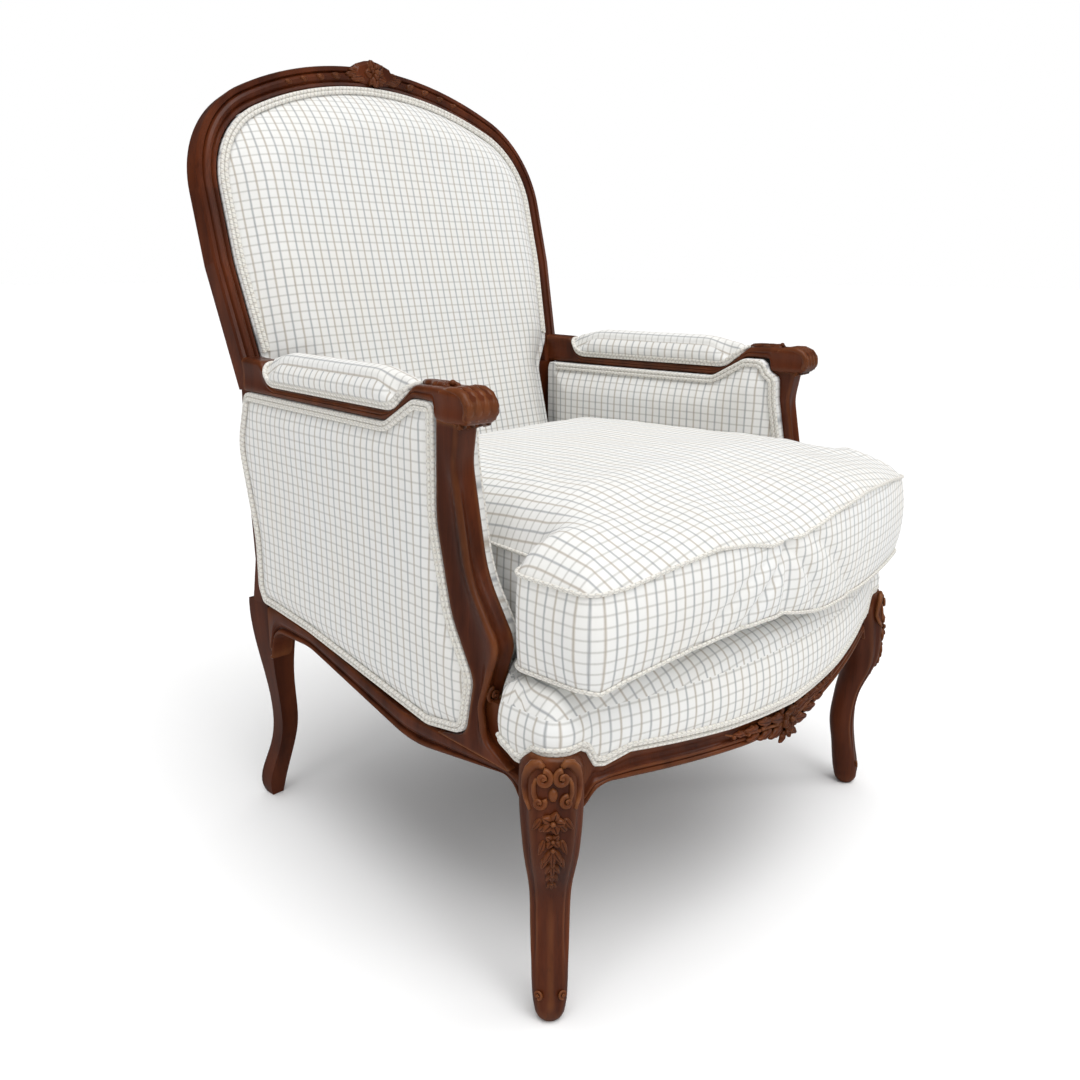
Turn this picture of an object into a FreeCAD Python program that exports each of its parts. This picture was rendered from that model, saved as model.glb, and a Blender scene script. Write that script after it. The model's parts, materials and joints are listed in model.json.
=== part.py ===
"""Upholstered bergere armchair with a carved walnut show frame and a loose seat cushion.

The chair faces -Y, +Z is up, and the origin is on the floor under the middle of the chair.
Lengths are in millimetres and angles in degrees. Left is the side at -X.
"""
import FreeCAD, Part
import Sketcher
import math
import os
import re
from collections import namedtuple
from FreeCAD import Placement, Rotation, Vector

# Driving sizes: the cells of the sheet
SIZES = (
    # Feet and legs
    ("front_foot_half_span", 333.0),
    ("front_foot_forward", 294.5),
    ("front_leg_height", 303.0),
    ("rear_foot_half_span", 272.0),
    ("rear_foot_back", 304.5),
    # Seat frame
    ("side_half_width", 320.0),
    ("side_splay", 5.0),
    ("rail_thickness", 30.0),
    ("rail_rebate", 10.0),
    ("rail_top", 325.0),
    ("front_bow", 56.5),
    ("front_rail_forward", 306.0),
    ("front_rail_thickness", 34.0),
    ("rear_rail_back", 268.0),
    ("rear_rail_bottom", 252.0),
    ("rear_rail_arch", 22.0),
    ("tenon_thickness", 10.0),
    ("tenon_length", 22.0),
    ("tenon_height", 28.0),
    ("tenon_bottom", 268.0),
    ("block_thickness", 42.0),
    ("block_bottom", 268.0),
    ("block_leg", 106.0),
    ("block_notch", 60.0),
    # Back frame
    ("back_rake", 13.6),
    ("back_plane_back", 263.5),
    ("arm_height", 631.0),
    ("back_half_low", 267.0),
    ("back_half_high", 277.5),
    ("back_frame_width", 28.0),
    ("back_frame_depth", 28.0),
    ("crest_height", 363.0),
    ("crest_radius", 500.0),
    ("crest_slope", 24.6),
    ("crest_shell_half", 42.0),
    ("crest_shell_rise", 11.0),
    ("lower_rail_height", 400.0),
    ("lower_rail_depth", 22.0),
    ("lower_rail_width", 45.0),
    # Arms and their supports
    ("arm_underside", 590.0),
    ("arm_deck", 601.0),
    ("arm_width", 34.0),
    ("knuckle_width", 40.0),
    ("knuckle_forward", 190.0),
    ("arm_rise", 633.0),
    ("support_joint", 600.0),
    ("support_width", 28.0),
    ("support_neck_back", 134.0),
    ("support_belly_forward", 228.0),
    ("support_foot", 265.0),
    ("dowel_radius", 4.5),
    ("dowel_length", 44.0),
    # Upholstery
    ("fit_gap", 0.3),
    ("webbing_width", 50.0),
    ("webbing_thickness", 1.5),
    ("hessian_thickness", 1.0),
    ("cover_thickness", 2.0),
    ("welt_width", 11.0),
    ("welt_height", 4.5),
    ("platform_top", 366.0),
    ("platform_half_rear", 236.0),
    ("platform_half_front", 276.0),
    ("platform_back", 184.0),
    ("ear_forward", 226.0),
    ("corner_half_width", 346.0),
    ("corner_forward", 313.0),
    ("ledge_centre", 267.0),
    ("inside_pad_crown", 34.0),
    ("inside_pad_half_low", 238.0),
    ("inside_pad_bottom", 262.0),
    ("outside_back_thickness", 6.0),
    ("side_pad_thickness", 26.0),
    ("side_panel_thickness", 10.0),
    ("arm_pad_height", 48.0),
    ("arm_pad_width", 32.0),
    ("arm_pad_front", 60.0),
    ("arm_pad_back", 190.0),
    # Loose cushion
    ("cushion_boxing", 99.0),
    ("cushion_crown", 60.0),
    ("cushion_half_rear", 233.0),
    ("cushion_half_front", 279.0),
    ("cushion_back", 168.0),
    ("cushion_half_ear", 329.0),
    ("cushion_ear_depth", 105.0),
    ("cushion_corner_forward", 335.0),
    ("cushion_bow", 40.0),
)

doc = FreeCAD.newDocument("bergere_chair")
sheet = doc.addObject("Spreadsheet::Sheet", "Sizes")
for row, (alias, value) in enumerate(SIZES, start=1):
    sheet.set(f"A{row}", alias)
    sheet.set(f"B{row}", str(value))
    sheet.setAlias(f"B{row}", alias)
doc.recompute()
Sizes = namedtuple("Sizes", [alias for alias, _ in SIZES])
size = Sizes(*(float(sheet.get(alias)) for alias in Sizes._fields))

Corner = namedtuple("Corner", "across up radius")
Station = namedtuple("Station", "height outer inner middle half_width")
nodes = []


# Outlines: rounded polygons, their insets and the solids made from them
def direction(start, end):
    """Unit vector from one corner to the next."""
    length = math.hypot(end.across - start.across, end.up - start.up)
    return (end.across - start.across) / length, (end.up - start.up) / length


def signed_area(outline):
    """Twice the area of a polygon, positive when it runs anticlockwise."""
    pairs = zip(outline, outline[1:] + outline[:1])
    return sum(a.across * b.up - b.across * a.up for a, b in pairs)


def inset(outline, distance, least_radius=2.0):
    """Move every side of a polygon inwards; rounded corners keep their centres."""
    inward = 1 if signed_area(outline) > 0 else -1
    moved = []
    for index, corner in enumerate(outline):
        before = direction(outline[index - 1], corner)
        after = direction(corner, outline[(index + 1) % len(outline)])
        turn = before[0] * after[1] - before[1] * after[0]
        share = distance * inward / (1 + before[0] * after[0] + before[1] * after[1])
        across = corner.across - share * (before[1] + after[1])
        up = corner.up + share * (before[0] + after[0])
        convex = turn * inward > 0
        radius = max(corner.radius - distance, least_radius) if convex else corner.radius
        if not corner.radius:
            radius = 0
        moved.append(Corner(across, up, radius))
    return moved


def mirrored(half):
    """Close an outline given from its rear corner to its front corner on the left."""
    return half + [Corner(-c.across, c.up, c.radius) for c in reversed(half) if c.across]


def turn_between(before, after):
    """Angle between two unit vectors, in radians."""
    cosine = before[0] * after[0] + before[1] * after[1]
    return math.acos(max(-1.0, min(1.0, cosine)))


def rounded_edges(outline, place):
    """Pairs of edges, a tangent arc at each corner and the straight run that follows it."""
    count = len(outline)
    sides = [direction(outline[i - 1], outline[i]) for i in range(count)]
    lengths = [math.hypot(outline[i].across - outline[i - 1].across,
                          outline[i].up - outline[i - 1].up) for i in range(count)]
    turns = [turn_between(sides[i], sides[(i + 1) % count]) for i in range(count)]
    reach = [outline[i].radius * math.tan(turns[i] / 2) for i in range(count)]
    share = [min(1.0, 0.98 * lengths[i] / max(reach[i] + reach[i - 1], 0.01))
             for i in range(count)]
    arcs = []
    for i, corner in enumerate(outline):
        run = reach[i] * min(share[i], share[(i + 1) % count])
        after = sides[(i + 1) % count]
        start = (corner.across - sides[i][0] * run, corner.up - sides[i][1] * run)
        end = (corner.across + after[0] * run, corner.up + after[1] * run)
        chord = ((start[0] + end[0]) / 2, (start[1] + end[1]) / 2)
        lift = math.cos(turns[i] / 2) / (1 + math.cos(turns[i] / 2))
        top = (chord[0] + (corner.across - chord[0]) * lift,
               chord[1] + (corner.up - chord[1]) * lift)
        arcs.append((start, top, end))
    pairs = []
    for i, (start, top, end) in enumerate(arcs):
        arc = None
        if outline[i].radius and turns[i] > 0.01:
            arc = Part.Arc(place(*start), place(*top), place(*end)).toShape()
        run = Part.LineSegment(place(*end), place(*arcs[(i + 1) % count][0])).toShape()
        pairs.append((arc, run))
    return pairs


def rounded_wire(outline, place):
    """Wire of straight runs and tangent arcs; place maps (across, up) into space."""
    return Part.Wire([edge for pair in rounded_edges(outline, place) for edge in pair if edge])


def level(height):
    """Map an outline given in plan to a height above the floor."""
    return lambda across, along: Vector(across, along, height)


def slab(outline, place, thickness):
    """Board with square edges; thickness is the vector of its extrusion."""
    return Part.Face(rounded_wire(outline, place)).extrude(thickness)


def contour_solid(levels, ruled=True):
    """Solid through closed wires stacked one above the other."""
    solid = Part.makeLoft(levels, True, ruled)
    return solid if solid.Volume > 0 else solid.reversed()


def band(outline, place, width, thickness):
    """Flat ring along the inside of an outline, such as a double welt."""
    outer = Part.Face(rounded_wire(outline, place)).extrude(thickness)
    inner = Part.Face(rounded_wire(inset(outline, width), place)).extrude(thickness)
    return outer.cut(inner)


def feature(name, shape, placement=None):
    """Add a shaped piece to the document as a node."""
    piece = doc.addObject("Part::Feature", name)
    piece.Shape = shape
    if placement:
        piece.Placement = placement
    piece.Label = name
    nodes.append(piece)
    return piece


def mirror_node(name, source):
    """Right-hand copy of a left-hand piece."""
    piece = doc.addObject("Part::Mirroring", name)
    piece.Source = source
    piece.Normal = Vector(1, 0, 0)
    piece.Label = name
    nodes.append(piece)
    return piece


# Frames in which flat sub-assemblies lie
side_frame = Placement(Vector(-size.side_half_width, 0, 0), Rotation(Vector(0, 0, 1), -size.side_splay))
back_frame = Placement(Vector(0, size.back_plane_back, size.arm_height),
                       Rotation(Vector(1, 0, 0), -size.back_rake))
rake_tangent = math.tan(math.radians(size.back_rake))
rake_cosine = math.cos(math.radians(size.back_rake))


def in_frame(shape, frame):
    """Copy of a shape carried from a local frame into the chair's frame."""
    moved = shape.copy()
    moved.Placement = frame.multiply(moved.Placement)
    return moved


def side_x(along, depth=0.0):
    """X of the left side assembly at a distance along it and a depth inward."""
    return side_frame.multVec(Vector(depth, along, 0)).x


# Cabriole legs
def leg_wire(foot, outward, station):
    """Four-sided section of a leg, with a ridge on its outer edge."""
    normal = Vector(outward[0], outward[1], 0).normalize()
    tangent = Vector(-normal.y, normal.x, 0)
    base = Vector(foot[0], foot[1], station.height)
    corners = [base + normal * station.outer,
               base + normal * station.middle + tangent * station.half_width,
               base + normal * station.inner,
               base + normal * station.middle - tangent * station.half_width]
    return Part.makePolygon(corners + corners[:1])


# Height as a share of the leg, then offsets along the leg's diagonal and half its width
FRONT_LEG = (
    Station(0.000, 8, -14, -3, 11),
    Station(0.060, 13, -21, -3, 17),
    Station(0.200, 5, -27, -10, 20),
    Station(0.340, 0, -33, -15, 20),
    Station(0.480, 4, -29, -11, 20.5),
    Station(0.660, 26, -21, 1, 27),
    Station(0.800, 31, -35, -6, 31),
    Station(1.000, 24, -46, -14, 32),
)
REAR_LEG = (
    Station(0.000, 11, -13, -1, 12),
    Station(0.070, 17, -18, 0, 16),
    Station(0.200, 6, -29, -11, 18.5),
    Station(0.380, -6, -41, -23, 20),
    Station(0.600, 0, -40, -20, 22.5),
    Station(0.800, 11, -45, -18, 27),
    Station(1.000, 15, -44, -16, 28),
)


def cabriole(stations, height, foot, outward):
    """Leg lofted through its stations."""
    wires = [leg_wire(foot, outward, s._replace(height=s.height * height)) for s in stations]
    return contour_solid(wires, ruled=False)


def rectangle_wire(height, outer, inner, front, back):
    """Post section given by its four faces."""
    points = [Vector(outer, front, height), Vector(inner, front, height),
              Vector(inner, back, height), Vector(outer, back, height)]
    return Part.makePolygon(points + points[:1])


# Across the back frame from its outer edge, and below its highest line, for a width of 28
MOULDING = ((0, 5), (2, 1.5), (7, 2), (8.5, 5), (11, 1.5), (14.5, 0), (18, 1.5), (20.5, 5),
            (23, 2.5), (26, 3), (28, 6))


def moulding(inner_x, height):
    """Section of the left stile: band, groove, wide round, groove and bead."""
    unit = size.back_frame_width / MOULDING[-1][0]
    outer_x = inner_x - size.back_frame_width
    points = [Vector(outer_x + across * unit, sink, height) for across, sink in MOULDING]
    points += [Vector(inner_x, size.back_frame_depth, height),
               Vector(outer_x, size.back_frame_depth, height)]
    return Part.makePolygon(points + points[:1])


crest_lean = math.radians(size.crest_slope)
shoulder_radius = ((size.back_half_high - size.crest_radius * math.sin(crest_lean))
                   / (1 - math.sin(crest_lean)))
crest_apex = size.crest_height + size.crest_radius * (1 / math.cos(crest_lean) - 1)
crest_shoulder = crest_apex - size.back_half_high * math.tan(crest_lean)
stile_bend = crest_shoulder - 1.4 * shoulder_radius


def stile_half(up):
    """Half the width between the stiles, at a height up the back."""
    spread = size.back_half_high - size.back_half_low
    return size.back_half_low + spread * min(up / stile_bend, 1.0)


def back_opening(foot):
    """Left half of the inner edge of the back frame, from a height up over the crest."""
    return [Corner(-stile_half(foot), foot, 4.0),
            Corner(-size.back_half_high, stile_bend, 200.0),
            Corner(-size.back_half_high, crest_shoulder, shoulder_radius),
            Corner(0.0, crest_apex, size.crest_radius)]


def crest_path():
    """Inner edge of the crest, from the top of the left stile to that of the right one."""
    pairs = rounded_edges(mirrored(back_opening(0.0)), lambda across, up: Vector(across, 0, up))
    return [pairs[2][0], pairs[2][1], pairs[3][0], pairs[3][1], pairs[4][0]]


crest_spring = min(vertex.Z for vertex in crest_path()[0].Vertexes)


def crest_rail():
    """Arched top rail: the moulding swept over two shoulders and the crest between them."""
    section = moulding(-size.back_half_high, crest_spring)
    rail = Part.Wire(crest_path()).makePipeShell([section], True, False)
    return rail.fuse(crest_shell())


def crest_shell():
    """Carved shell that rises over the middle of the crest."""
    top = size.crest_height + size.back_frame_width
    half = size.crest_shell_half
    rise = size.crest_shell_rise
    outline = [Corner(-half, top - 14, 4), Corner(-half * 0.72, top + rise * 0.25, 8),
               Corner(-half * 0.3, top + rise * 0.8, 10), Corner(0, top + rise, 8),
               Corner(half * 0.3, top + rise * 0.8, 10), Corner(half * 0.72, top + rise * 0.25, 8),
               Corner(half, top - 14, 4), Corner(half * 0.5, top - 23, 10),
               Corner(-half * 0.5, top - 23, 10)]
    steps = ((size.back_frame_depth * 0.7, 0), (0, 0), (-5, 6))
    wires = [rounded_wire(inset(outline, shrink), lambda across, up, y=y: Vector(across, y, up))
             for y, shrink in steps]
    return contour_solid(wires)


def side_place(depth):
    """Map an outline of the side elevation to a depth inside its outer face."""
    return lambda along, up: Vector(depth, along, up)


def side_at(along, height, depth):
    """Point of the left side assembly in the chair's frame."""
    return side_frame.multVec(Vector(depth, along, height))


# Outlines of the side in elevation: distance back from the middle, and height
def rail_lower_edge():
    """Lower edge of a side rail from the front leg to the rear leg."""
    return [Corner(-275, 205, 0), Corner(-249, 262, 24), Corner(-80, 232, 160),
            Corner(140, 281, 120), Corner(230, 276, 30), Corner(243, 232, 0)]


def rail_ledge():
    """Ledge of a side rail that the side panel stands on, from rear to front."""
    return [Corner(size.rear_rail_back + 12, 304, 0), Corner(215, 308, 60), Corner(140, 302, 120),
            Corner(-60, 264, 160), Corner(-118, size.support_foot, 60), Corner(-275, 264, 0)]


def support_rear_edge():
    """Rear edge of the arm support from the arm down to its foot on the rail."""
    neck = -size.support_neck_back
    return [Corner(neck - 4, size.support_joint, 0), Corner(neck, 500, 150),
            Corner(neck - 22, 405, 120), Corner(neck - 56, 345, 28),
            Corner(neck - 42, 278, 24), Corner(-118, size.support_foot, 4)]


def support_front_edge():
    """Front edge of the arm support from its foot up to the arm."""
    belly = -size.support_belly_forward
    return [Corner(belly - 18, size.support_foot, 4), Corner(belly + 20, 283, 22),
            Corner(belly + 26, 318, 30), Corner(belly, 388, 26), Corner(belly + 42, 450, 120),
            Corner(belly + 63, 560, 60), Corner(-172, size.support_joint, 2)]


def arm_outline():
    """Arm in elevation: flat rear, dip under the pad, rise and knuckle."""
    under = size.arm_underside
    top = size.arm_rise
    nose = -size.knuckle_forward
    rear = size.back_plane_back + 1
    return [Corner(rear, under, 0), Corner(-48, under - 1, 22), Corner(-100, 618, 12),
            Corner(-136, 618, 6), Corner(-138, size.support_joint, 2),
            Corner(-172, size.support_joint, 2), Corner(nose + 5, 600, 9), Corner(nose, 614, 9),
            Corner(nose + 4, 629, 8), Corner(-140, top, 16), Corner(-102, top - 1, 12),
            Corner(-70, size.arm_deck, 14), Corner(204, size.arm_deck, 12),
            Corner(218, top - 2, 12), Corner(rear, top - 1, 0)]


def arm_plan():
    """Arm seen from above: it widens a little into the knuckle."""
    rear = size.back_plane_back + 1
    spare = (size.knuckle_width - size.arm_width) / 2
    nose = -size.knuckle_forward - 1
    return [Corner(1, rear, 0), Corner(0, -120, 60), Corner(-spare, -160, 30),
            Corner(-spare, nose, 9), Corner(size.arm_width + spare, nose, 9),
            Corner(size.arm_width + spare, -160, 30), Corner(size.arm_width, -120, 60),
            Corner(size.arm_width - 5, rear, 0)]


def side_panel_outline():
    """Outside side panel: fills the opening between arm, support, rail ledge and stile."""
    arm = size.arm_underside
    opening = [Corner(size.back_plane_back, arm, 10), Corner(-48, arm - 1, 22),
               Corner(-100, 618, 12), Corner(-136, 618, 6)]
    opening += support_rear_edge()[1:5]
    opening += [Corner(-110, size.support_foot + 1, 26)]
    opening += list(reversed(rail_ledge()[1:4]))[1:]
    opening += [Corner(252, 310, 6), Corner(264, 330, 20), Corner(262, 400, 150),
                Corner(291, 520, 70)]
    return inset(opening, size.fit_gap)


def inside_pad_outline():
    """Inside side pad: laps the inner face of the support and runs back beside the back pad."""
    arm = size.arm_underside - size.fit_gap
    neck, waist, belly = [Corner(c.across + 12, c.up, c.radius)
                          for c in reversed(support_front_edge()[3:6])]
    return [Corner(252, arm, 10), Corner(-50, arm - 1, 24), Corner(-92, 607, 14),
            Corner(neck.across + 3, size.support_joint - 3, 10), neck, waist, belly,
            Corner(-196, pad_floor + 12, 14), Corner(-186, pad_floor, 6),
            Corner(252, pad_floor, 6)]


hessian_floor = size.rail_top + 2 * size.webbing_thickness
stuffing_floor = hessian_floor + size.hessian_thickness + size.fit_gap
pad_floor = stuffing_floor


# Seat frame in plan
def bow(half_span, forward, sagitta):
    """Apex and radius of the arc that bows forward between two points."""
    half_turn = 2 * math.atan(sagitta / half_span)
    apex = forward + half_span * math.tan(half_turn)
    return apex, half_span / math.sin(half_turn)


def front_board():
    """Curved board behind the show face of the front rail."""
    half = size.front_foot_half_span - 4
    start = -size.front_rail_forward
    outer = [Vector(-half, start, 0), Vector(0, start - size.front_bow, 0), Vector(half, start, 0)]
    depth = Vector(0, size.front_rail_thickness, 0)
    inner = [point + depth for point in reversed(outer)]
    edges = [Part.Arc(*outer), Part.LineSegment(outer[2], inner[0]),
             Part.Arc(*inner), Part.LineSegment(inner[2], outer[0])]
    wire = Part.Wire([edge.toShape() for edge in edges])
    return Part.Face(wire).extrude(Vector(0, 0, size.rail_top))


def front_elevation(lower, upper):
    """Prism of the front rail between a lower and an upper edge."""
    outline = lower + list(reversed(upper))
    far = 600
    reach = far - size.front_rail_forward + size.front_rail_thickness
    return slab(outline, lambda across, up: Vector(across, -far, up), Vector(0, reach, 0))


def front_lower_edge():
    """Lower edge of the front rail: brackets at the legs and a carved drop at the middle."""
    half = size.front_foot_half_span
    middle = size.ledge_centre
    left = [Corner(-half, middle - 70, 0), Corner(-half + 30, middle - 66, 0),
            Corner(-half + 44, middle - 8, 30), Corner(-70, middle - 33, 300),
            Corner(-48, middle - 33, 20), Corner(-26, middle - 45, 14)]
    right = [Corner(-c.across, c.up, c.radius) for c in reversed(left)]
    return left + right


def front_ledge(lift=0.0):
    """Ledge of the front rail that the platform border stands on."""
    half = size.front_foot_half_span
    corner = size.front_leg_height + lift
    left = [Corner(-half - 60, corner, 0), Corner(-half + 36, corner, 12),
            Corner(-half + 80, corner - 18, 40)]
    right = [Corner(-c.across, c.up, c.radius) for c in reversed(left)]
    return left + [Corner(0, size.ledge_centre - 5 + lift, 900)] + right


def platform_outline():
    """Platform in plan: between the arms at the back, over the front corners in front."""
    apex, radius = bow(size.front_foot_half_span - 20, size.front_rail_forward, size.front_bow)
    corner = size.corner_half_width
    return mirrored([
        Corner(-size.platform_half_rear, size.platform_back, 20),
        Corner(-size.platform_half_front, -size.ear_forward, 8),
        Corner(-corner + 4, -size.ear_forward - 4, 8),
        Corner(-corner, -size.corner_forward + 3, 20),
        Corner(-size.front_foot_half_span + 36, -size.corner_forward + 1, 50),
        Corner(0, -apex + 2, radius)])


def cushion_outline():
    """Loose cushion in plan: T-shaped, with ears in front of the arm supports."""
    front = size.cushion_corner_forward
    apex, radius = bow(size.cushion_half_ear, front, size.cushion_bow)
    notch = front - size.cushion_ear_depth
    return mirrored([
        Corner(-size.cushion_half_rear, size.cushion_back, 28),
        Corner(-size.cushion_half_front, -notch + 6, 14),
        Corner(-size.cushion_half_ear, -notch - 10, 20),
        Corner(-size.cushion_half_ear, -front, 24),
        Corner(0, -apex, radius)])


# Wood frame
front_foot = (-size.front_foot_half_span, -size.front_foot_forward)
rear_foot = (-size.rear_foot_half_span, size.rear_foot_back)
front_leg_blank = cabriole(FRONT_LEG, size.front_leg_height, front_foot, (-1, -1))


def rear_post_blank():
    """Rear leg and back stile in one piece."""
    seat = size.rail_top - 25
    leg = cabriole(REAR_LEG, seat, rear_foot, (-1, 1))
    back = size.back_plane_back
    outer = -post_outer
    inner = -post_inner
    stations = ((seat - 1, outer, inner, back - 2, back + 40),
                (seat + 60, outer, inner - 3, back - 5, back + 27),
                (seat + 200, outer, inner - 5, back - 4, back + 32),
                (size.arm_underside, outer, inner - 5, back - 8, back + 29))
    stile = contour_solid([rectangle_wire(*station) for station in stations])
    low = (size.arm_underside - size.arm_height) / rake_cosine
    lower = Part.Face(moulding(-stile_half(low), low))
    slope = Vector(stile_half(low) - size.back_half_high, 0, stile_bend - low)
    upper = Part.Face(moulding(-size.back_half_high, stile_bend))
    rise = Vector(0, 0, crest_spring - stile_bend)
    raked = in_frame(lower.extrude(slope).fuse(upper.extrude(rise)), back_frame)
    below = Part.makeBox(200, 200, 100, Vector(outer - 100, back - 100, size.arm_underside - 100))
    return leg.fuse([stile, raked.cut(below)]).removeSplitter()


post_outer = size.side_half_width - 37.5
post_inner = size.inside_pad_half_low + 0.5
rear_blank = rear_post_blank()


def tenon(centre, heading, width):
    """Tongue on the end of a seat rail, centred on the joint."""
    shape = Part.makeBox(2 * size.tenon_length, width, size.tenon_height,
                         Vector(-size.tenon_length, -width / 2, 0))
    shape.Placement = Placement(centre, Rotation(Vector(1, 0, 0), heading))
    return shape


def rail_tenons():
    """Tenons of the left side rail and of the front and rear rails at the left."""
    base = size.tenon_bottom
    wide = size.tenon_thickness
    middle = size.rail_rebate + (size.rail_thickness - size.rail_rebate) / 2
    heading = side_at(1, 0, 0) - side_at(0, 0, 0)
    front_end = side_at(-size.front_foot_forward + 32, base, middle)
    rear_end = side_at(size.rear_rail_back + 3, base + 12, middle + 4)
    half = size.front_foot_half_span - 32
    front_y = -size.front_rail_forward + size.front_rail_thickness * 0.35
    rear_joint = Vector(-size.rear_foot_half_span + 30,
                        size.rear_rail_back + size.rail_thickness / 2, base)
    return {
        "side_front": tenon(front_end, heading, wide),
        "side_rear": tenon(rear_end, heading, wide),
        "front": tenon(Vector(-half, front_y, base - 4), Vector(1, 0, 0), wide),
        "rear": tenon(rear_joint, Vector(1, 0, 0), wide),
    }


tenons = rail_tenons()


def side_rail():
    """Side seat rail with its arched lower edge, its rebate for the panel and its tenons."""
    rear = size.rear_rail_back + 12
    band_outline = rail_lower_edge() + [Corner(rear, 232, 0)] + rail_ledge()
    hidden_outline = [Corner(-262, 262, 0), Corner(-118, 262, 0), Corner(-60, 262, 60),
                      Corner(150, 298, 60), Corner(rear, 298, 0),
                      Corner(rear, size.rail_top, 0), Corner(-262, size.rail_top, 0)]
    show = slab(band_outline, side_place(0.0), Vector(size.rail_thickness, 0, 0))
    hidden = slab(hidden_outline, side_place(size.rail_rebate),
                  Vector(size.rail_thickness - size.rail_rebate, 0, 0))
    blank = in_frame(show.fuse(hidden), side_frame)
    return largest(blank.cut([front_leg_blank, rear_blank])).fuse(
        [tenons["side_front"], tenons["side_rear"]])


def front_rail():
    """Serpentine front seat rail with its ledge for the platform border."""
    end = size.front_foot_half_span - 33
    top = [Corner(-end, size.rail_top, 0), Corner(end, size.rail_top, 0)]
    low = [Corner(-end, size.front_leg_height - 30, 0), Corner(0, size.ledge_centre - 12, 900),
           Corner(end, size.front_leg_height - 30, 0)]
    show = front_board().common(front_elevation(front_lower_edge(), front_ledge()))
    behind_border = band(inset(platform_outline(), size.rail_rebate), level(0),
                         size.front_rail_thickness - size.rail_rebate,
                         Vector(0, 0, size.rail_top))
    hidden = behind_border.common(front_elevation(low, top))
    sides = [front_leg_blank, side_rail_shape]
    blank = show.fuse(hidden).cut(sides + [right_of(shape) for shape in sides])
    tongue = tenons["front"].cut(tenons["side_front"])
    return largest(blank).fuse([tongue, right_of(tongue)])


def largest(shape):
    """Biggest solid of a cut shape."""
    return max(shape.Solids, key=lambda solid: solid.Volume)


def right_of(shape):
    """Mirror image of a left-hand shape."""
    return shape.mirror(Vector(0, 0, 0), Vector(1, 0, 0))


side_rail_shape = side_rail()
front_rail_shape = front_rail()


def arm():
    """Arm sawn to its elevation and then to its plan."""
    elevation = slab(arm_outline(), lambda along, up: Vector(-20, along, up), Vector(90, 0, 0))
    plan = slab(arm_plan(), lambda across, along: Vector(across, along, 500), Vector(0, 0, 200))
    return in_frame(elevation.common(plan), side_frame).cut(rear_blank)


def support():
    """Serpentine arm support, lapped over the side rail at its foot."""
    outline = support_rear_edge() + support_front_edge()
    blank = in_frame(slab(outline, side_place(0.0), Vector(size.support_width, 0, 0)), side_frame)
    return largest(blank.cut([side_rail_shape]))


def arm_dowel():
    """Dowel between arm and support, at the left."""
    foot = side_at(-154, size.support_joint - size.dowel_length / 2, size.support_width / 2)
    reach = size.dowel_length * 0.5 + (size.arm_rise - size.support_joint) * 0.6
    return Part.makeCylinder(size.dowel_radius, reach, foot)


def crest_dowel():
    """Dowel between back stile and crest, at the left."""
    centre = size.back_half_high + size.back_frame_width / 2
    shape = Part.makeCylinder(size.dowel_radius, size.dowel_length,
                              Vector(-centre, size.back_frame_depth * 0.55,
                                     crest_spring - size.dowel_length * 0.6))
    return in_frame(shape, back_frame)


arm_shape = arm()
support_shape = support()
arm_pin = arm_dowel()
crest_pin = crest_dowel()
feature("front_leg_left", front_leg_blank.cut([tenons["side_front"], tenons["front"]]))
mirror_node("front_leg_right", nodes[-1])
feature("rear_post_left", rear_blank.cut([tenons["side_rear"], tenons["rear"], crest_pin]))
mirror_node("rear_post_right", nodes[-1])
feature("side_seat_rail_left", side_rail_shape)
mirror_node("side_seat_rail_right", nodes[-1])
feature("front_seat_rail", front_rail_shape)
crest_shape = in_frame(crest_rail(), back_frame)
feature("crest_rail", crest_shape.cut([crest_pin, right_of(crest_pin)]))
feature("arm_left", arm_shape.cut(arm_pin))
mirror_node("arm_right", nodes[-1])
feature("arm_support_left", support_shape.cut(arm_pin))
mirror_node("arm_support_right", nodes[-1])
feature("arm_dowels", Part.makeCompound([arm_pin, right_of(arm_pin)]))
feature("crest_dowels", Part.makeCompound([crest_pin, right_of(crest_pin)]))


# Straight pieces of the frame, as bodies with sketches
def new_body(name):
    """Empty body."""
    body = doc.addObject("PartDesign::Body", name)
    body.Label = name
    return body


def new_sketch(body, name, role, offset):
    """Sketch on one of the body's own origin planes, moved along its normal."""
    sketch = body.newObject("Sketcher::SketchObject", name)
    plane = next(item for item in body.Origin.OriginFeatures if item.Role == role)
    sketch.AttachmentSupport = [(plane, "")]
    sketch.MapMode = "FlatFace"
    sketch.setExpression("AttachmentOffset.Base.z", offset)
    return sketch


def draw_polygon(sketch, corners):
    """Closed polygon whose corners are pairs of expressions on the sheet."""
    points = [Vector(float(sheet.evalExpression(x)), float(sheet.evalExpression(y)), 0)
              for x, y in corners]
    count = len(points)
    for index, point in enumerate(points):
        sketch.addGeometry(Part.LineSegment(point, points[(index + 1) % count]))
    for index in range(count):
        sketch.addConstraint(Sketcher.Constraint("Coincident", index, 2, (index + 1) % count, 1))
    for index, (x, y) in enumerate(corners):
        for kind, value, expression in (("DistanceX", points[index].x, x),
                                        ("DistanceY", points[index].y, y)):
            number = sketch.addConstraint(
                Sketcher.Constraint(kind, -1, 1, index, 1, value))
            sketch.setExpression(f"Constraints[{number}]", on_sheet(expression))


def on_sheet(expression):
    """Expression with the sheet's name before each alias, for use outside the sheet."""
    return re.sub(r"\b([a-z]+(?:_[a-z]+)+)\b", r"Sizes.\1", expression)


def pad(body, sketch, length, backwards=False):
    """Pad of a sketch by an expression on the sheet."""
    feature_pad = body.newObject("PartDesign::Pad", f"{sketch.Name}_pad")
    feature_pad.Profile = sketch
    feature_pad.Reversed = backwards
    feature_pad.setExpression("Length", on_sheet(length))
    return feature_pad


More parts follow.
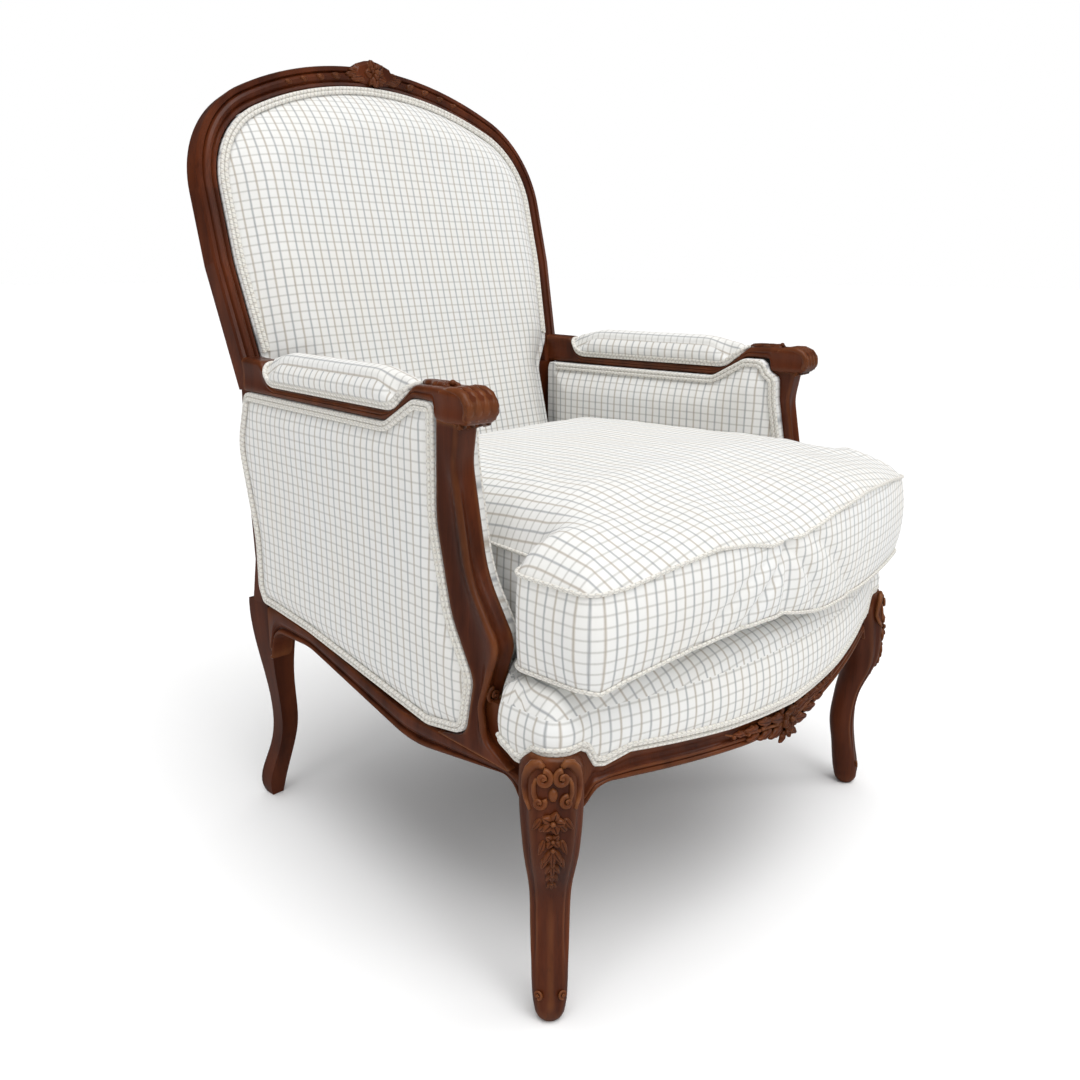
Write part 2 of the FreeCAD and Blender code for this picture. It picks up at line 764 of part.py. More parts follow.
def plate(name, corners, bottom, thickness):
    """Flat body: a polygon in plan between a bottom height and a thickness above it."""
    body = new_body(name)
    sketch = new_sketch(body, f"{name}_outline", "XY_Plane", on_sheet(bottom))
    draw_polygon(sketch, corners)
    pad(body, sketch, thickness)
    return body


def rear_rail_body():
    """Rear seat rail: a board with an arch cut in its lower edge."""
    body = new_body("rear_rail_board")
    sketch = new_sketch(body, "rear_rail_outline", "XZ_Plane", on_sheet("-rear_rail_back"))
    half = "(rear_foot_half_span - 20)"
    draw_polygon(sketch, [(f"-{half}", "rear_rail_bottom"), (half, "rear_rail_bottom"),
                          (half, "rail_top"), (f"-{half}", "rail_top")])
    pad(body, sketch, "rail_thickness", backwards=True)
    arch = new_sketch(body, "rear_rail_arch", "XZ_Plane", on_sheet("-rear_rail_back + 1"))
    span = "(rear_foot_half_span - 50)"
    radius = f"(({span} * {span} + rear_rail_arch * rear_rail_arch) / (2 * rear_rail_arch))"
    start = float(sheet.evalExpression(radius))
    centre = Vector(0, size.rear_rail_bottom + size.rear_rail_arch - start, 0)
    arch.addGeometry(Part.Circle(centre, Vector(0, 0, 1), start))
    arch.addConstraint(Sketcher.Constraint("PointOnObject", 0, 3, -2))
    number = arch.addConstraint(Sketcher.Constraint("Radius", 0, start))
    arch.setExpression(f"Constraints[{number}]", on_sheet(radius))
    number = arch.addConstraint(Sketcher.Constraint("DistanceY", 0, 3, -1, 1, -centre.y))
    arch.setExpression(f"Constraints[{number}]",
                       on_sheet(f"{radius} - rear_rail_bottom - rear_rail_arch"))
    pocket = body.newObject("PartDesign::Pocket", "rear_rail_arch_cut")
    pocket.Profile = arch
    pocket.Reversed = True
    pocket.setExpression("Length", on_sheet("rail_thickness + 2"))
    doc.recompute()
    return body


def corner_block_body(name, corner_x, corner_y, towards):
    """Block in a corner of the seat frame, notched clear of the leg, before it is fitted."""
    corners = [(f"{corner_x} + block_notch", corner_y), (f"{corner_x} + block_leg", corner_y),
               (corner_x, f"{corner_y} + {towards} * block_leg"),
               (corner_x, f"{corner_y} + {towards} * block_notch")]
    return plate(name, corners, "block_bottom", "block_thickness")


rear_board = rear_rail_body()
lower_board = plate("lower_back_rail_board",
                    [("-back_half_low + 1", "back_plane_back - 8"),
                     ("back_half_low - 1", "back_plane_back - 8"),
                     ("back_half_low - 1", "back_plane_back - 8 + lower_rail_depth"),
                     ("-back_half_low + 1", "back_plane_back - 8 + lower_rail_depth")],
                    "lower_rail_height", "lower_rail_width")
front_block = corner_block_body("corner_block_front_blank", "-side_half_width + 10",
                                "-front_rail_forward + 8", 1)
rear_block = corner_block_body("corner_block_rear_blank", "-rear_foot_half_span - 4",
                               "rear_rail_back + 4", -1)
doc.recompute()

right_rear_blank = right_of(rear_blank)
rear_tenons = [tenons["rear"], right_of(tenons["rear"])]
rear_rail_shape = largest(rear_board.Shape.cut([rear_blank, right_rear_blank])).fuse(rear_tenons)
feature("rear_seat_rail", rear_rail_shape)
feature("lower_back_rail", largest(lower_board.Shape.cut([rear_blank, right_rear_blank])))


# Corner blocks
fitted_front = largest(front_block.Shape.cut([side_rail_shape, front_rail_shape]))
fitted_rear = largest(rear_block.Shape.cut([side_rail_shape, rear_rail_shape]))
feature("corner_block_front_left", fitted_front)
mirror_node("corner_block_front_right", nodes[-1])
feature("corner_block_rear_left", fitted_rear)
mirror_node("corner_block_rear_right", nodes[-1])


# Webbing, hessian and dust cover
def webbing(count, first, last, make_band):
    """Group of parallel bands, evenly spaced between two positions."""
    pitch = (last - first) / (count - 1)
    return Part.makeCompound([make_band(first + pitch * index) for index in range(count)])


deck = size.rail_top
web = size.webbing_thickness
half_web = size.webbing_width / 2


def cross_band(along):
    """Band from side rail to side rail."""
    reach = abs(side_x(along, size.rail_rebate + 3))
    return Part.makeBox(2 * reach, size.webbing_width, web, Vector(-reach, along - half_web, deck))


def long_band(across):
    """Band from the front rail to the rear rail, over the cross bands."""
    back = size.rear_rail_back + size.rail_thickness - 12
    front = size.front_rail_forward + size.front_bow * 0.4 - size.rail_rebate
    return Part.makeBox(size.webbing_width, front + back, web,
                        Vector(across - half_web, -front, deck + web))


supports = [support_shape, right_of(support_shape)]
cross_webbing = webbing(4, -185, 210, cross_band)
feature("seat_webbing_cross", cross_webbing.cut(supports))
feature("seat_webbing_long", webbing(4, -186, 186, long_band))
hessian_rear = abs(side_x(size.rear_rail_back - 30, size.support_width))
hessian_front = abs(side_x(-size.ear_forward, size.support_width + 2))
feature("seat_hessian", slab([Corner(-hessian_rear, size.platform_back + 30, 4),
                              Corner(-hessian_front, -size.front_rail_forward + 12, 4),
                              Corner(hessian_front, -size.front_rail_forward + 12, 4),
                              Corner(hessian_rear, size.platform_back + 30, 4)],
                             level(hessian_floor), Vector(0, 0, size.hessian_thickness)))


def dust_cover():
    """Black cloth closing the seat from below, tacked between the rails."""
    rear = abs(side_x(size.rear_rail_back - 70, size.rail_thickness + 0.3))
    front = abs(side_x(-size.front_rail_forward + 118, size.rail_thickness + 0.3))
    height = size.block_bottom - 4
    outline = [Corner(-rear, size.rear_rail_back - size.fit_gap, 0.5),
               Corner(-front, -size.front_rail_forward + 118, 0.5),
               Corner(-front + 50, -size.front_rail_forward + 16, 0.5),
               Corner(front - 50, -size.front_rail_forward + 16, 0.5),
               Corner(front, -size.front_rail_forward + 118, 0.5),
               Corner(rear, size.rear_rail_back - size.fit_gap, 0.5)]
    sheet_shape = slab(outline, level(height), Vector(0, 0, 1.0))
    neighbours = [side_rail_shape, right_of(side_rail_shape), front_rail_shape, rear_rail_shape]
    return largest(sheet_shape.cut(neighbours))


feature("dust_cover", dust_cover())


# Platform under the cushion
def platform_form(shrink, bottom, top):
    """T-shaped platform: its front swells over the rail and its top edge is rounded."""
    outline = platform_outline()
    steps = ((bottom, -3), (top - 10, -3), (top, 9))
    return contour_solid([rounded_wire(inset(outline, shrink + swell), level(height))
                          for height, swell in steps])


def below_ledge(lift):
    """Everything that the wood frame fills below and inside the platform's border."""
    far = 700
    reach = far - 256
    wall = 34
    behind = Part.makeBox(2 * far, far, stuffing_floor,
                          Vector(-far, -size.ear_forward + 0.2, 0))
    front = slab(front_ledge(lift) + [Corner(far, 0, 0), Corner(-far, 0, 0)],
                 lambda across, up: Vector(across, -far, up), Vector(0, reach, 0))
    side_line = [Corner(-257, 286 + lift, 0), Corner(-230, 293 + lift, 30),
                 Corner(-150, 312 + lift, 0), Corner(-150, 0, 0), Corner(-257, 0, 0)]
    side = in_frame(slab(side_line, side_place(-40.0), Vector(90, 0, 0)), side_frame)
    core = slab(inset(platform_outline(), size.rail_rebate - size.fit_gap), level(0),
                Vector(0, 0, stuffing_floor))
    half = size.corner_half_width - wall
    between = Part.makeBox(2 * half, 2 * wall, stuffing_floor,
                           Vector(-half, -size.ear_forward - wall, 0))
    return behind.fuse([front, side, right_of(side), core, between])


frame_under = below_ledge(size.fit_gap)
cover_outer = platform_form(0.0, 240, size.platform_top)
cover_inner = platform_form(size.cover_thickness, 230, size.platform_top - size.cover_thickness)
stuffing_top = size.platform_top - size.cover_thickness - size.fit_gap
stuffing_form = platform_form(size.cover_thickness + size.fit_gap, stuffing_floor, stuffing_top)
beside = [side_rail_shape, right_of(side_rail_shape)]
above_floor = Part.makeBox(2000, 2000, 200, Vector(-1000, -1000, stuffing_floor))
cover_shape = cover_outer.cut([cover_inner.common(above_floor), frame_under] + beside)
feature("platform_cover", largest(cover_shape))
feature("platform_stuffing", stuffing_form)


def platform_welt():
    """Double welt along the lower edge of the platform's border."""
    proud = platform_form(-size.welt_height, 240, size.platform_top)
    inner = platform_form(-size.fit_gap, 230, size.platform_top)
    raised = below_ledge(size.fit_gap + size.welt_width)
    behind = Part.makeBox(2000, 2000, 400, Vector(-1000, -size.ear_forward - 2, 0))
    return largest(proud.cut([inner, frame_under, behind] + beside).common(raised))


feature("platform_welt", platform_welt())


def welted_pad(outline, raised, place, back, face, crown, bevel):
    """Pad from its back to its crown, with a flat margin at its face for the welt."""
    margin = size.welt_width + 2 * size.fit_gap
    base = contour_solid([rounded_wire(outline, place(depth)) for depth in (back, face)])
    steps = (((back + face) / 2, margin), (face + (crown - face) * 0.6, margin + bevel * 0.12),
             (crown, margin + bevel))
    middle = contour_solid([rounded_wire(inset(raised, shrink), place(depth))
                            for depth, shrink in steps])
    return base.fuse(middle)


# Back upholstery
def back_outline(foot, half):
    """Panel in the plane of the back: narrow between the lower posts, full above the arms."""
    shoulder = -36
    low = [Corner(-half, -foot, 10), Corner(-half, shoulder, 3),
           Corner(-size.back_half_low + 3, shoulder, 3), Corner(-size.back_half_low + 3, 0, 20)]
    return inset(mirrored(low + back_opening(30.0)), size.fit_gap)


def in_back(depth):
    """Map an outline in the plane of the back to a depth behind its front face."""
    return lambda across, up: Vector(across, depth, up)


def above_arms(outline, face, outwards):
    """Double welt round the part of a back panel that lies above the arms."""
    ring = band(outline, in_back(face), size.welt_width, Vector(0, outwards, 0))
    below = Part.makeBox(1000, 200, 500, Vector(-500, -100, -496))
    return ring.cut(below)


inside_outline = back_outline(size.inside_pad_bottom, size.inside_pad_half_low)
inside_raised = mirrored([Corner(-size.inside_pad_half_low + 8, -size.inside_pad_bottom, 10)]
                         + back_opening(30.0)[2:])
inside_back = welted_pad(inside_outline, inside_raised, in_back, 8.0, 0.0,
                         -size.inside_pad_crown, 60)
feature("inside_back_pad", in_frame(inside_back, back_frame))
feature("inside_back_welt", in_frame(above_arms(inside_outline, 0.0, -size.welt_height), back_frame))
back_cloth = 8.0 + size.fit_gap
hessian_back = slab(inset(inside_outline, 1.0), in_back(back_cloth),
                    Vector(0, size.hessian_thickness, 0))
feature("back_hessian", in_frame(hessian_back, back_frame))


def back_band(up):
    """Webbing band across the back, from stile to stile."""
    reach = min(size.back_half_low, stile_half(up)) - 3
    return Part.makeBox(2 * reach, web, size.webbing_width,
                        Vector(-reach, back_cloth + size.hessian_thickness, up - half_web))


feature("back_webbing", in_frame(webbing(4, 0, crest_spring - 30, back_band), back_frame))

panel_back = size.back_frame_depth - 3
panel_foot = size.rear_rail_back + size.rail_thickness
panel_low = size.rail_top - 40
bend_height = size.arm_underside - 22
bend_back = size.back_plane_back - (size.arm_height - bend_height) * rake_tangent + panel_back
panel_lean = math.degrees(math.atan2(panel_foot - bend_back, bend_height - panel_low))
lower_frame = Placement(Vector(0, panel_foot, panel_low), Rotation(Vector(1, 0, 0), panel_lean))
outside_outline = back_outline(size.arm_height - bend_height + 8, size.inside_pad_half_low)


def outside_back():
    """Outside back panel: raked above the arms, nearly upright below them."""
    thickness = Vector(0, -size.outside_back_thickness, 0)
    upper = slab(outside_outline, in_back(panel_back), thickness)
    half = size.inside_pad_half_low - size.fit_gap
    length = math.hypot(panel_foot - bend_back, bend_height - panel_low)
    lower = slab([Corner(-half, 0, 4), Corner(half, 0, 4), Corner(half, length, 4),
                  Corner(-half, length, 4)], in_back(0.0), thickness)
    panel = in_frame(upper, back_frame).fuse(in_frame(lower, lower_frame))
    return largest(panel.cut([rear_rail_shape, rear_blank, right_rear_blank]))


feature("outside_back_panel", outside_back())
feature("outside_back_welt", in_frame(above_arms(outside_outline, panel_back, size.welt_height),
                                      back_frame))


# Side upholstery
outer_outline = side_panel_outline()
outer_face = 2.0
outer_panel = welted_pad(outer_outline, outer_outline, side_place,
                         size.rail_rebate - size.fit_gap, outer_face,
                         outer_face - size.side_panel_thickness / 2, 14)
feature("outside_side_panel_left", in_frame(outer_panel, side_frame))
mirror_node("outside_side_panel_right", nodes[-1])
outer_welt = band(outer_outline, side_place(outer_face), size.welt_width,
                  Vector(-size.welt_height, 0, 0))
feature("outside_side_welt_left", in_frame(outer_welt, side_frame))
mirror_node("outside_side_welt_right", nodes[-1])
inner_back = size.support_width + size.fit_gap
inner_face = inner_back + size.side_pad_thickness * 0.5
inner_pad = welted_pad(inside_pad_outline(), inside_pad_outline(), side_place, inner_back, inner_face,
                       inner_back + size.side_pad_thickness, 12)
feature("inside_side_pad_left", in_frame(inner_pad, side_frame))
mirror_node("inside_side_pad_right", nodes[-1])
inner_welt = band(inside_pad_outline(), side_place(inner_face), size.welt_width,
                  Vector(size.welt_height, 0, 0))
feature("inside_side_welt_left", in_frame(inner_welt, side_frame))
mirror_node("inside_side_welt_right", nodes[-1])


def side_band(along):
    """Upright webbing band between the arm and the side rail."""
    return Part.makeBox(web, size.webbing_width, size.arm_underside - 3 - stuffing_floor,
                        Vector(size.support_width - web, along - half_web, stuffing_floor))


feature("side_webbing_left", in_frame(webbing(3, -60, 170, side_band), side_frame))
mirror_node("side_webbing_right", nodes[-1])


# Arm pads
def arm_pad_outline():
    """Arm pad in plan, on the flat of the arm between its two rises."""
    edge = (size.arm_width - size.arm_pad_width) / 2
    front = -size.arm_pad_front
    back = size.arm_pad_back
    return [Corner(edge, back, 10), Corner(edge, front, 12),
            Corner(size.arm_width - edge, front, 12), Corner(size.arm_width - edge - 4, back, 10)]


pad_welt_width = size.welt_width * 0.6


def arm_pad():
    """Stuffed pad that swells over its welt, with full sides and a rounded top."""
    base = size.arm_deck + size.fit_gap
    full = size.arm_pad_height
    foot = pad_welt_width / 2 + size.fit_gap
    steps = ((0, foot), (size.welt_height + size.fit_gap, foot), (full * 0.4, -2),
             (full * 0.75, 0), (full, 11))
    return contour_solid([rounded_wire(inset(arm_pad_outline(), shrink), level(base + rise))
                          for rise, shrink in steps])


feature("arm_pad_left", in_frame(arm_pad(), side_frame))
mirror_node("arm_pad_right", nodes[-1])
pad_welt = band(inset(arm_pad_outline(), -pad_welt_width / 2), level(size.arm_deck + size.fit_gap),
                pad_welt_width, Vector(0, 0, size.welt_height))
feature("arm_pad_welt_left", in_frame(pad_welt, side_frame))
mirror_node("arm_pad_welt_right", nodes[-1])


# Loose cushion
cushion_floor = size.platform_top + size.fit_gap
low_seam = cushion_floor + 5
high_seam = cushion_floor + size.cushion_boxing


def cushion_form(shrink):
    """Feather cushion: boxed sides between two seams, and a soft crown."""
    crown = size.cushion_crown - shrink
    steps = ((cushion_floor + shrink, 12), (low_seam, 0), (high_seam, 0),
             (high_seam + crown * 0.42, 9), (high_seam + crown * 0.8, 24), (high_seam + crown, 44))
    return contour_solid([rounded_wire(inset(cushion_outline(), shrink + swell), level(height))
                          for height, swell in steps])


feature("cushion_cover", cushion_form(0.0).cut(cushion_form(size.cover_thickness)))
feature("cushion_insert", cushion_form(size.cover_thickness + size.fit_gap))
piping = size.welt_height
for name, height in (("cushion_bottom_welt", low_seam), ("cushion_top_welt", high_seam)):
    ring = band(inset(cushion_outline(), -size.fit_gap - piping), level(height - piping / 2),
                piping, Vector(0, 0, piping))
    feature(name, ring)


def finish():
    """Recompute, test every piece and write one file for each node."""
    doc.recompute()
    os.makedirs("parts", exist_ok=True)
    for piece in doc.Objects:
        if {"Invalid", "Error"} & set(piece.State):
            raise RuntimeError(f"{piece.Label} did not recompute: {piece.State}")
    for piece in nodes:
        shape = piece.Shape
        if shape.isNull() or not shape.isValid() or not shape.Solids:
            raise RuntimeError(f"{piece.Label} is not a valid solid")
        shape.exportStep(f"parts/{piece.Label}.step")
        print(piece.Label, len(shape.Solids), round(shape.Volume), flush=True)


finish()
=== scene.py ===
"""Looks of a bergere armchair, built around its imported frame.

Sizes are in millimetres and become metres where a mesh is made. The chair faces -Y, its left side is at -X.
"""

from __future__ import annotations

import json
import logging
import math
from collections.abc import Callable, Iterable, Sequence
from dataclasses import dataclass, field, replace
from enum import Enum

import bmesh
import bpy
import numpy as np
from mathutils import Matrix, Vector, noise

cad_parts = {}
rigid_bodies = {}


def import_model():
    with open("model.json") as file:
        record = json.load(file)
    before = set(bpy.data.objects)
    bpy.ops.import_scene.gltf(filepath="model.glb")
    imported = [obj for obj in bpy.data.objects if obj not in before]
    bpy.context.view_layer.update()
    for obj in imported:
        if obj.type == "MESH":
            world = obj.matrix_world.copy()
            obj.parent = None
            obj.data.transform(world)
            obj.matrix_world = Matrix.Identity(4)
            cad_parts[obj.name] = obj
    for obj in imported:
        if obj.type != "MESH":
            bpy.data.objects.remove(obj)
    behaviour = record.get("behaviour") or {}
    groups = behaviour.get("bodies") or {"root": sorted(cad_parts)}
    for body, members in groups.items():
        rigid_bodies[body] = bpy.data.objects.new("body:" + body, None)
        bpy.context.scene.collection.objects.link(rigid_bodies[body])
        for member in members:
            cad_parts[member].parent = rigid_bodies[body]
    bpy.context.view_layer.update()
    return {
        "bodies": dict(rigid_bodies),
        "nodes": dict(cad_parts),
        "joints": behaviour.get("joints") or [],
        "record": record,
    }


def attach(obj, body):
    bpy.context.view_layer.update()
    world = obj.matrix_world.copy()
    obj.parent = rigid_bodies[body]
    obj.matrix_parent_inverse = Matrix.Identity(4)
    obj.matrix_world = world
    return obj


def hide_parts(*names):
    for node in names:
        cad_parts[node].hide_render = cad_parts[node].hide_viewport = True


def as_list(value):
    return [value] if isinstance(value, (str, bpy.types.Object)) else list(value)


LOG = logging.getLogger("bergere")
MM = 0.001
CHAIR = "chair"
SEAT_CUSHION = "seat_cushion"
SIDE_SPLAY = math.radians(5.0)
BACK_RAKE = math.radians(13.6)
WEAVE = "weave"
SEAT_TOP = 325.0
RING_EASE = 1.25
RING_REACH = 0.985

Corner = tuple[float, float, float]
Line = tuple[Corner, ...]
Colour = tuple[float, float, float, float]
Spot = tuple[float, float]
Hub = tuple[Spot, Spot]
Run = tuple[Sequence[Vector], bool]
Material = bpy.types.Material


class Side(Enum):
    """The chair's two sides, by the sign of X."""

    LEFT = -1
    RIGHT = 1

    @property
    def word(self) -> str:
        """The side's word in the names of nodes and pieces."""
        return self.name.lower()


class Slot(Enum):
    """The record's material slots."""

    SHOW_WOOD = "show_wood"
    CHECK = "check_fabric"
    WELT = "welt_fabric"
    WEBBING = "webbing"
    HESSIAN = "hessian"
    DUST_CLOTH = "dust_cloth"


# Places


@dataclass(frozen=True)
class Plane:
    """A working plane with two directions in it and one out of it.

    Args:
        origin: where the plane's own zero is, in millimetres.
        across: unit vector of the first coordinate.
        up: unit vector of the second coordinate.
        out: unit vector of the height above the plane.
    """

    origin: Vector
    across: Vector
    up: Vector
    out: Vector

    def at(self, a: float, b: float, height: float = 0.0) -> Vector:
        """The place of a point of the plane, in millimetres."""
        return self.origin + self.across * a + self.up * b + self.out * height

    def ring(self, flat: np.ndarray, heights: Iterable[float]) -> list[Vector]:
        """The places of points of the plane at their heights."""
        return [self.at(a, b, height) for (a, b), height in zip(flat, heights)]

    def spun(self, way: float) -> Plane:
        """The same plane with its two directions turned by an angle in radians."""
        across = self.across * math.cos(way) + self.up * math.sin(way)
        return replace(self, across=across, up=self.up * math.cos(way) - self.across * math.sin(way))

    def turned(self, angle: float = 0.0, a: float = 0.0, b: float = 0.0, height: float = 0.0) -> Plane:
        """A plane at a point of this one, turned by an angle in degrees."""
        return replace(self.spun(math.radians(angle)), origin=self.at(a, b, height))

    def mirrored(self) -> Plane:
        """The same plane on the chair's other side."""
        flip = Vector((-1.0, 1.0, 1.0))
        return Plane(self.origin * flip, self.across * flip, self.up * flip, self.out * flip)


FLOOR = Plane(Vector((0, 0, 0)), Vector((1, 0, 0)), Vector((0, 1, 0)), Vector((0, 0, 1)))


def side_plane(side: Side, inward: bool = False) -> Plane:
    """The outer face of a side frame: along it, up, and away from it.

    Args:
        side: which side of the chair.
        inward: True for heights that grow towards the sitter.

    Returns:
        The plane; its first coordinate runs to the rear.
    """
    inside = Vector((math.cos(SIDE_SPLAY), -math.sin(SIDE_SPLAY), 0))
    along = Vector((math.sin(SIDE_SPLAY), math.cos(SIDE_SPLAY), 0))
    left = Plane(Vector((-320, 0, 0)), along, Vector((0, 0, 1)), inside if inward else -inside)
    return left if side is Side.LEFT else left.mirrored()


def arm_plane(side: Side) -> Plane:
    """The level plane of an arm: inward from the side frame's face, along it, and height above the floor."""
    wall = side_plane(side, inward=True)
    return Plane(wall.origin, wall.out, wall.across, Vector((0, 0, 1)))


def back_plane(forward: bool = True) -> Plane:
    """The raked face of the back frame, with heights towards the sitter or to the rear."""
    lean = Vector((0, math.sin(BACK_RAKE), math.cos(BACK_RAKE)))
    rear = Vector((0, math.cos(BACK_RAKE), -math.sin(BACK_RAKE)))
    return Plane(Vector((0, 263.5, 631)), Vector((1, 0, 0)), lean, -rear if forward else rear)


# Outlines


def travelled(line: np.ndarray) -> np.ndarray:
    """How far along an open line each of its points is."""
    return np.concatenate([[0.0], np.cumsum(np.linalg.norm(np.diff(line, axis=0), axis=1))])


def unit(ways: np.ndarray) -> np.ndarray:
    """The directions of vectors, one row each."""
    return ways / np.maximum(np.linalg.norm(ways, axis=1, keepdims=True), 1e-9)


def signed_area(outline: np.ndarray) -> float:
    """The area in an outline, above 0 if it winds from the first direction to the second."""
    x, y = outline[:, 0], outline[:, 1]
    return (x * np.roll(y, -1) - np.roll(x, -1) * y).sum() / 2


def resampled(points: np.ndarray, step: float, closed: bool = True) -> np.ndarray:
    """The same line with points at an even spacing.

    Args:
        points: the line's points, one row each.
        step: the spacing to aim for, in millimetres.
        closed: whether the last point joins the first.

    Returns:
        The evenly spaced points.
    """
    line = np.vstack([points, points[:1]]) if closed else points
    travel = travelled(line)
    count = max(4, int(round(travel[-1] / step)))
    stops = np.linspace(0, travel[-1], count, endpoint=not closed)
    return np.column_stack([np.interp(stops, travel, line[:, k]) for k in range(line.shape[1])])


def corner_cuts(spots: np.ndarray, radii: Sequence[float], halves: np.ndarray) -> np.ndarray:
    """How much of the sides each rounded corner takes, shared out where two corners meet."""
    wanted = np.where(halves < 1.56, np.array(radii) / np.tan(np.clip(halves, 0.02, 1.57)), 0.0)
    length = np.linalg.norm(np.roll(spots, -1, axis=0) - spots, axis=1)
    share = np.minimum(1.0, 0.999 * length / np.maximum(wanted + np.roll(wanted, -1), 1e-9))
    return wanted * np.minimum(share, np.roll(share, 1))


def rounded(corners: Sequence[Corner], step: float = 5.0, closed: bool = True) -> np.ndarray:
    """An outline with rounded corners.

    Args:
        corners: across, up and radius of each corner.
        step: spacing of the points, in millimetres.
        closed: whether the last corner joins the first.

    Returns:
        The outline's points, one row each.
    """
    spots = np.array([c[:2] for c in corners], float)
    radii = [c[2] for c in corners]
    if not closed:
        radii[0] = radii[-1] = 0.0
    before, after = unit(np.roll(spots, 1, axis=0) - spots), unit(np.roll(spots, -1, axis=0) - spots)
    halves = np.arccos(np.clip((before * after).sum(axis=1), -1, 1)) / 2
    made: list[np.ndarray] = []
    for here, toward, away, half, cut in zip(spots, before, after, halves, corner_cuts(spots, radii, halves)):
        if cut < 0.05:
            made.append(here)
            continue
        turn = cut * math.tan(half)
        middle = (toward + away) / np.linalg.norm(toward + away)
        centre = here + middle * turn / math.sin(half)
        first, last = here + toward * cut - centre, here + away * cut - centre
        start = math.atan2(first[1], first[0])
        sweep = (math.atan2(last[1], last[0]) - start + math.pi) % math.tau - math.pi
        steps = max(3, int(abs(sweep) * turn / 3.0))
        for k in range(steps + 1):
            angle = start + sweep * k / steps
            made.append(centre + turn * np.array([math.cos(angle), math.sin(angle)]))
    return resampled(np.array(made), step, closed)


def mirrored_outline(half: Sequence[Corner]) -> list[Corner]:
    """A symmetrical outline from its half at negative across, ends on the middle line kept once."""
    other = [(-x, y, r) for x, y, r in reversed(half) if abs(x) > 1e-6]
    return list(half) + other


def edge_distance(points: np.ndarray, outline: np.ndarray) -> np.ndarray:
    """How far each point lies from a closed outline."""
    start = outline
    run = np.roll(outline, -1, axis=0) - start
    length = np.maximum((run * run).sum(axis=1), 1e-12)
    rel = points[:, None, :] - start[None, :, :]
    share = np.clip((rel * run).sum(axis=2) / length, 0, 1)
    return np.sqrt(((rel - share[..., None] * run) ** 2).sum(axis=2).min(axis=1))


def outward(outline: np.ndarray) -> np.ndarray:
    """Unit vectors that point out of a closed outline, one for each point."""
    run = np.roll(outline, -1, axis=0) - np.roll(outline, 1, axis=0)
    return unit(np.column_stack([run[:, 1], -run[:, 0]]) * np.sign(signed_area(outline)))


def inset(outline: np.ndarray, amount: float, step: float = 3.0) -> np.ndarray:
    """The outline drawn again that far inside, without the loops that sharp corners would leave."""
    moved = outline - outward(outline) * amount
    clear = edge_distance(moved, outline) > amount * 0.96
    return resampled(moved[clear], step)


def at_stations(outline: np.ndarray, stations: Sequence[Corner]) -> np.ndarray:
    """A value all round an outline, from the values at a few of its places.

    Args:
        outline: the closed outline.
        stations: across, up and value of each place.

    Returns:
        The value at each point of the outline, straight between the stations.
    """
    *travel, total = travelled(np.vstack([outline, outline[:1]]))
    nearest = [int(np.argmin(((outline - np.array(s[:2])) ** 2).sum(axis=1))) for s in stations]
    order = sorted(zip([travel[i] for i in nearest], [s[2] for s in stations]))
    where = [order[-1][0] - total] + [o[0] for o in order] + [order[0][0] + total]
    value = [order[-1][1]] + [o[1] for o in order] + [order[0][1]]
    return np.interp(travel, where, value)


def smooth(share: np.ndarray | float) -> np.ndarray | float:
    """Eases a share from 0 to 1."""
    held = np.clip(share, 0, 1)
    return held * held * (3 - 2 * held)


def ripple(place: Vector, scale: float) -> float:
    """Smooth noise at a place in millimetres; scale is the size of its waves."""
    return noise.noise(place / scale)


# Meshes


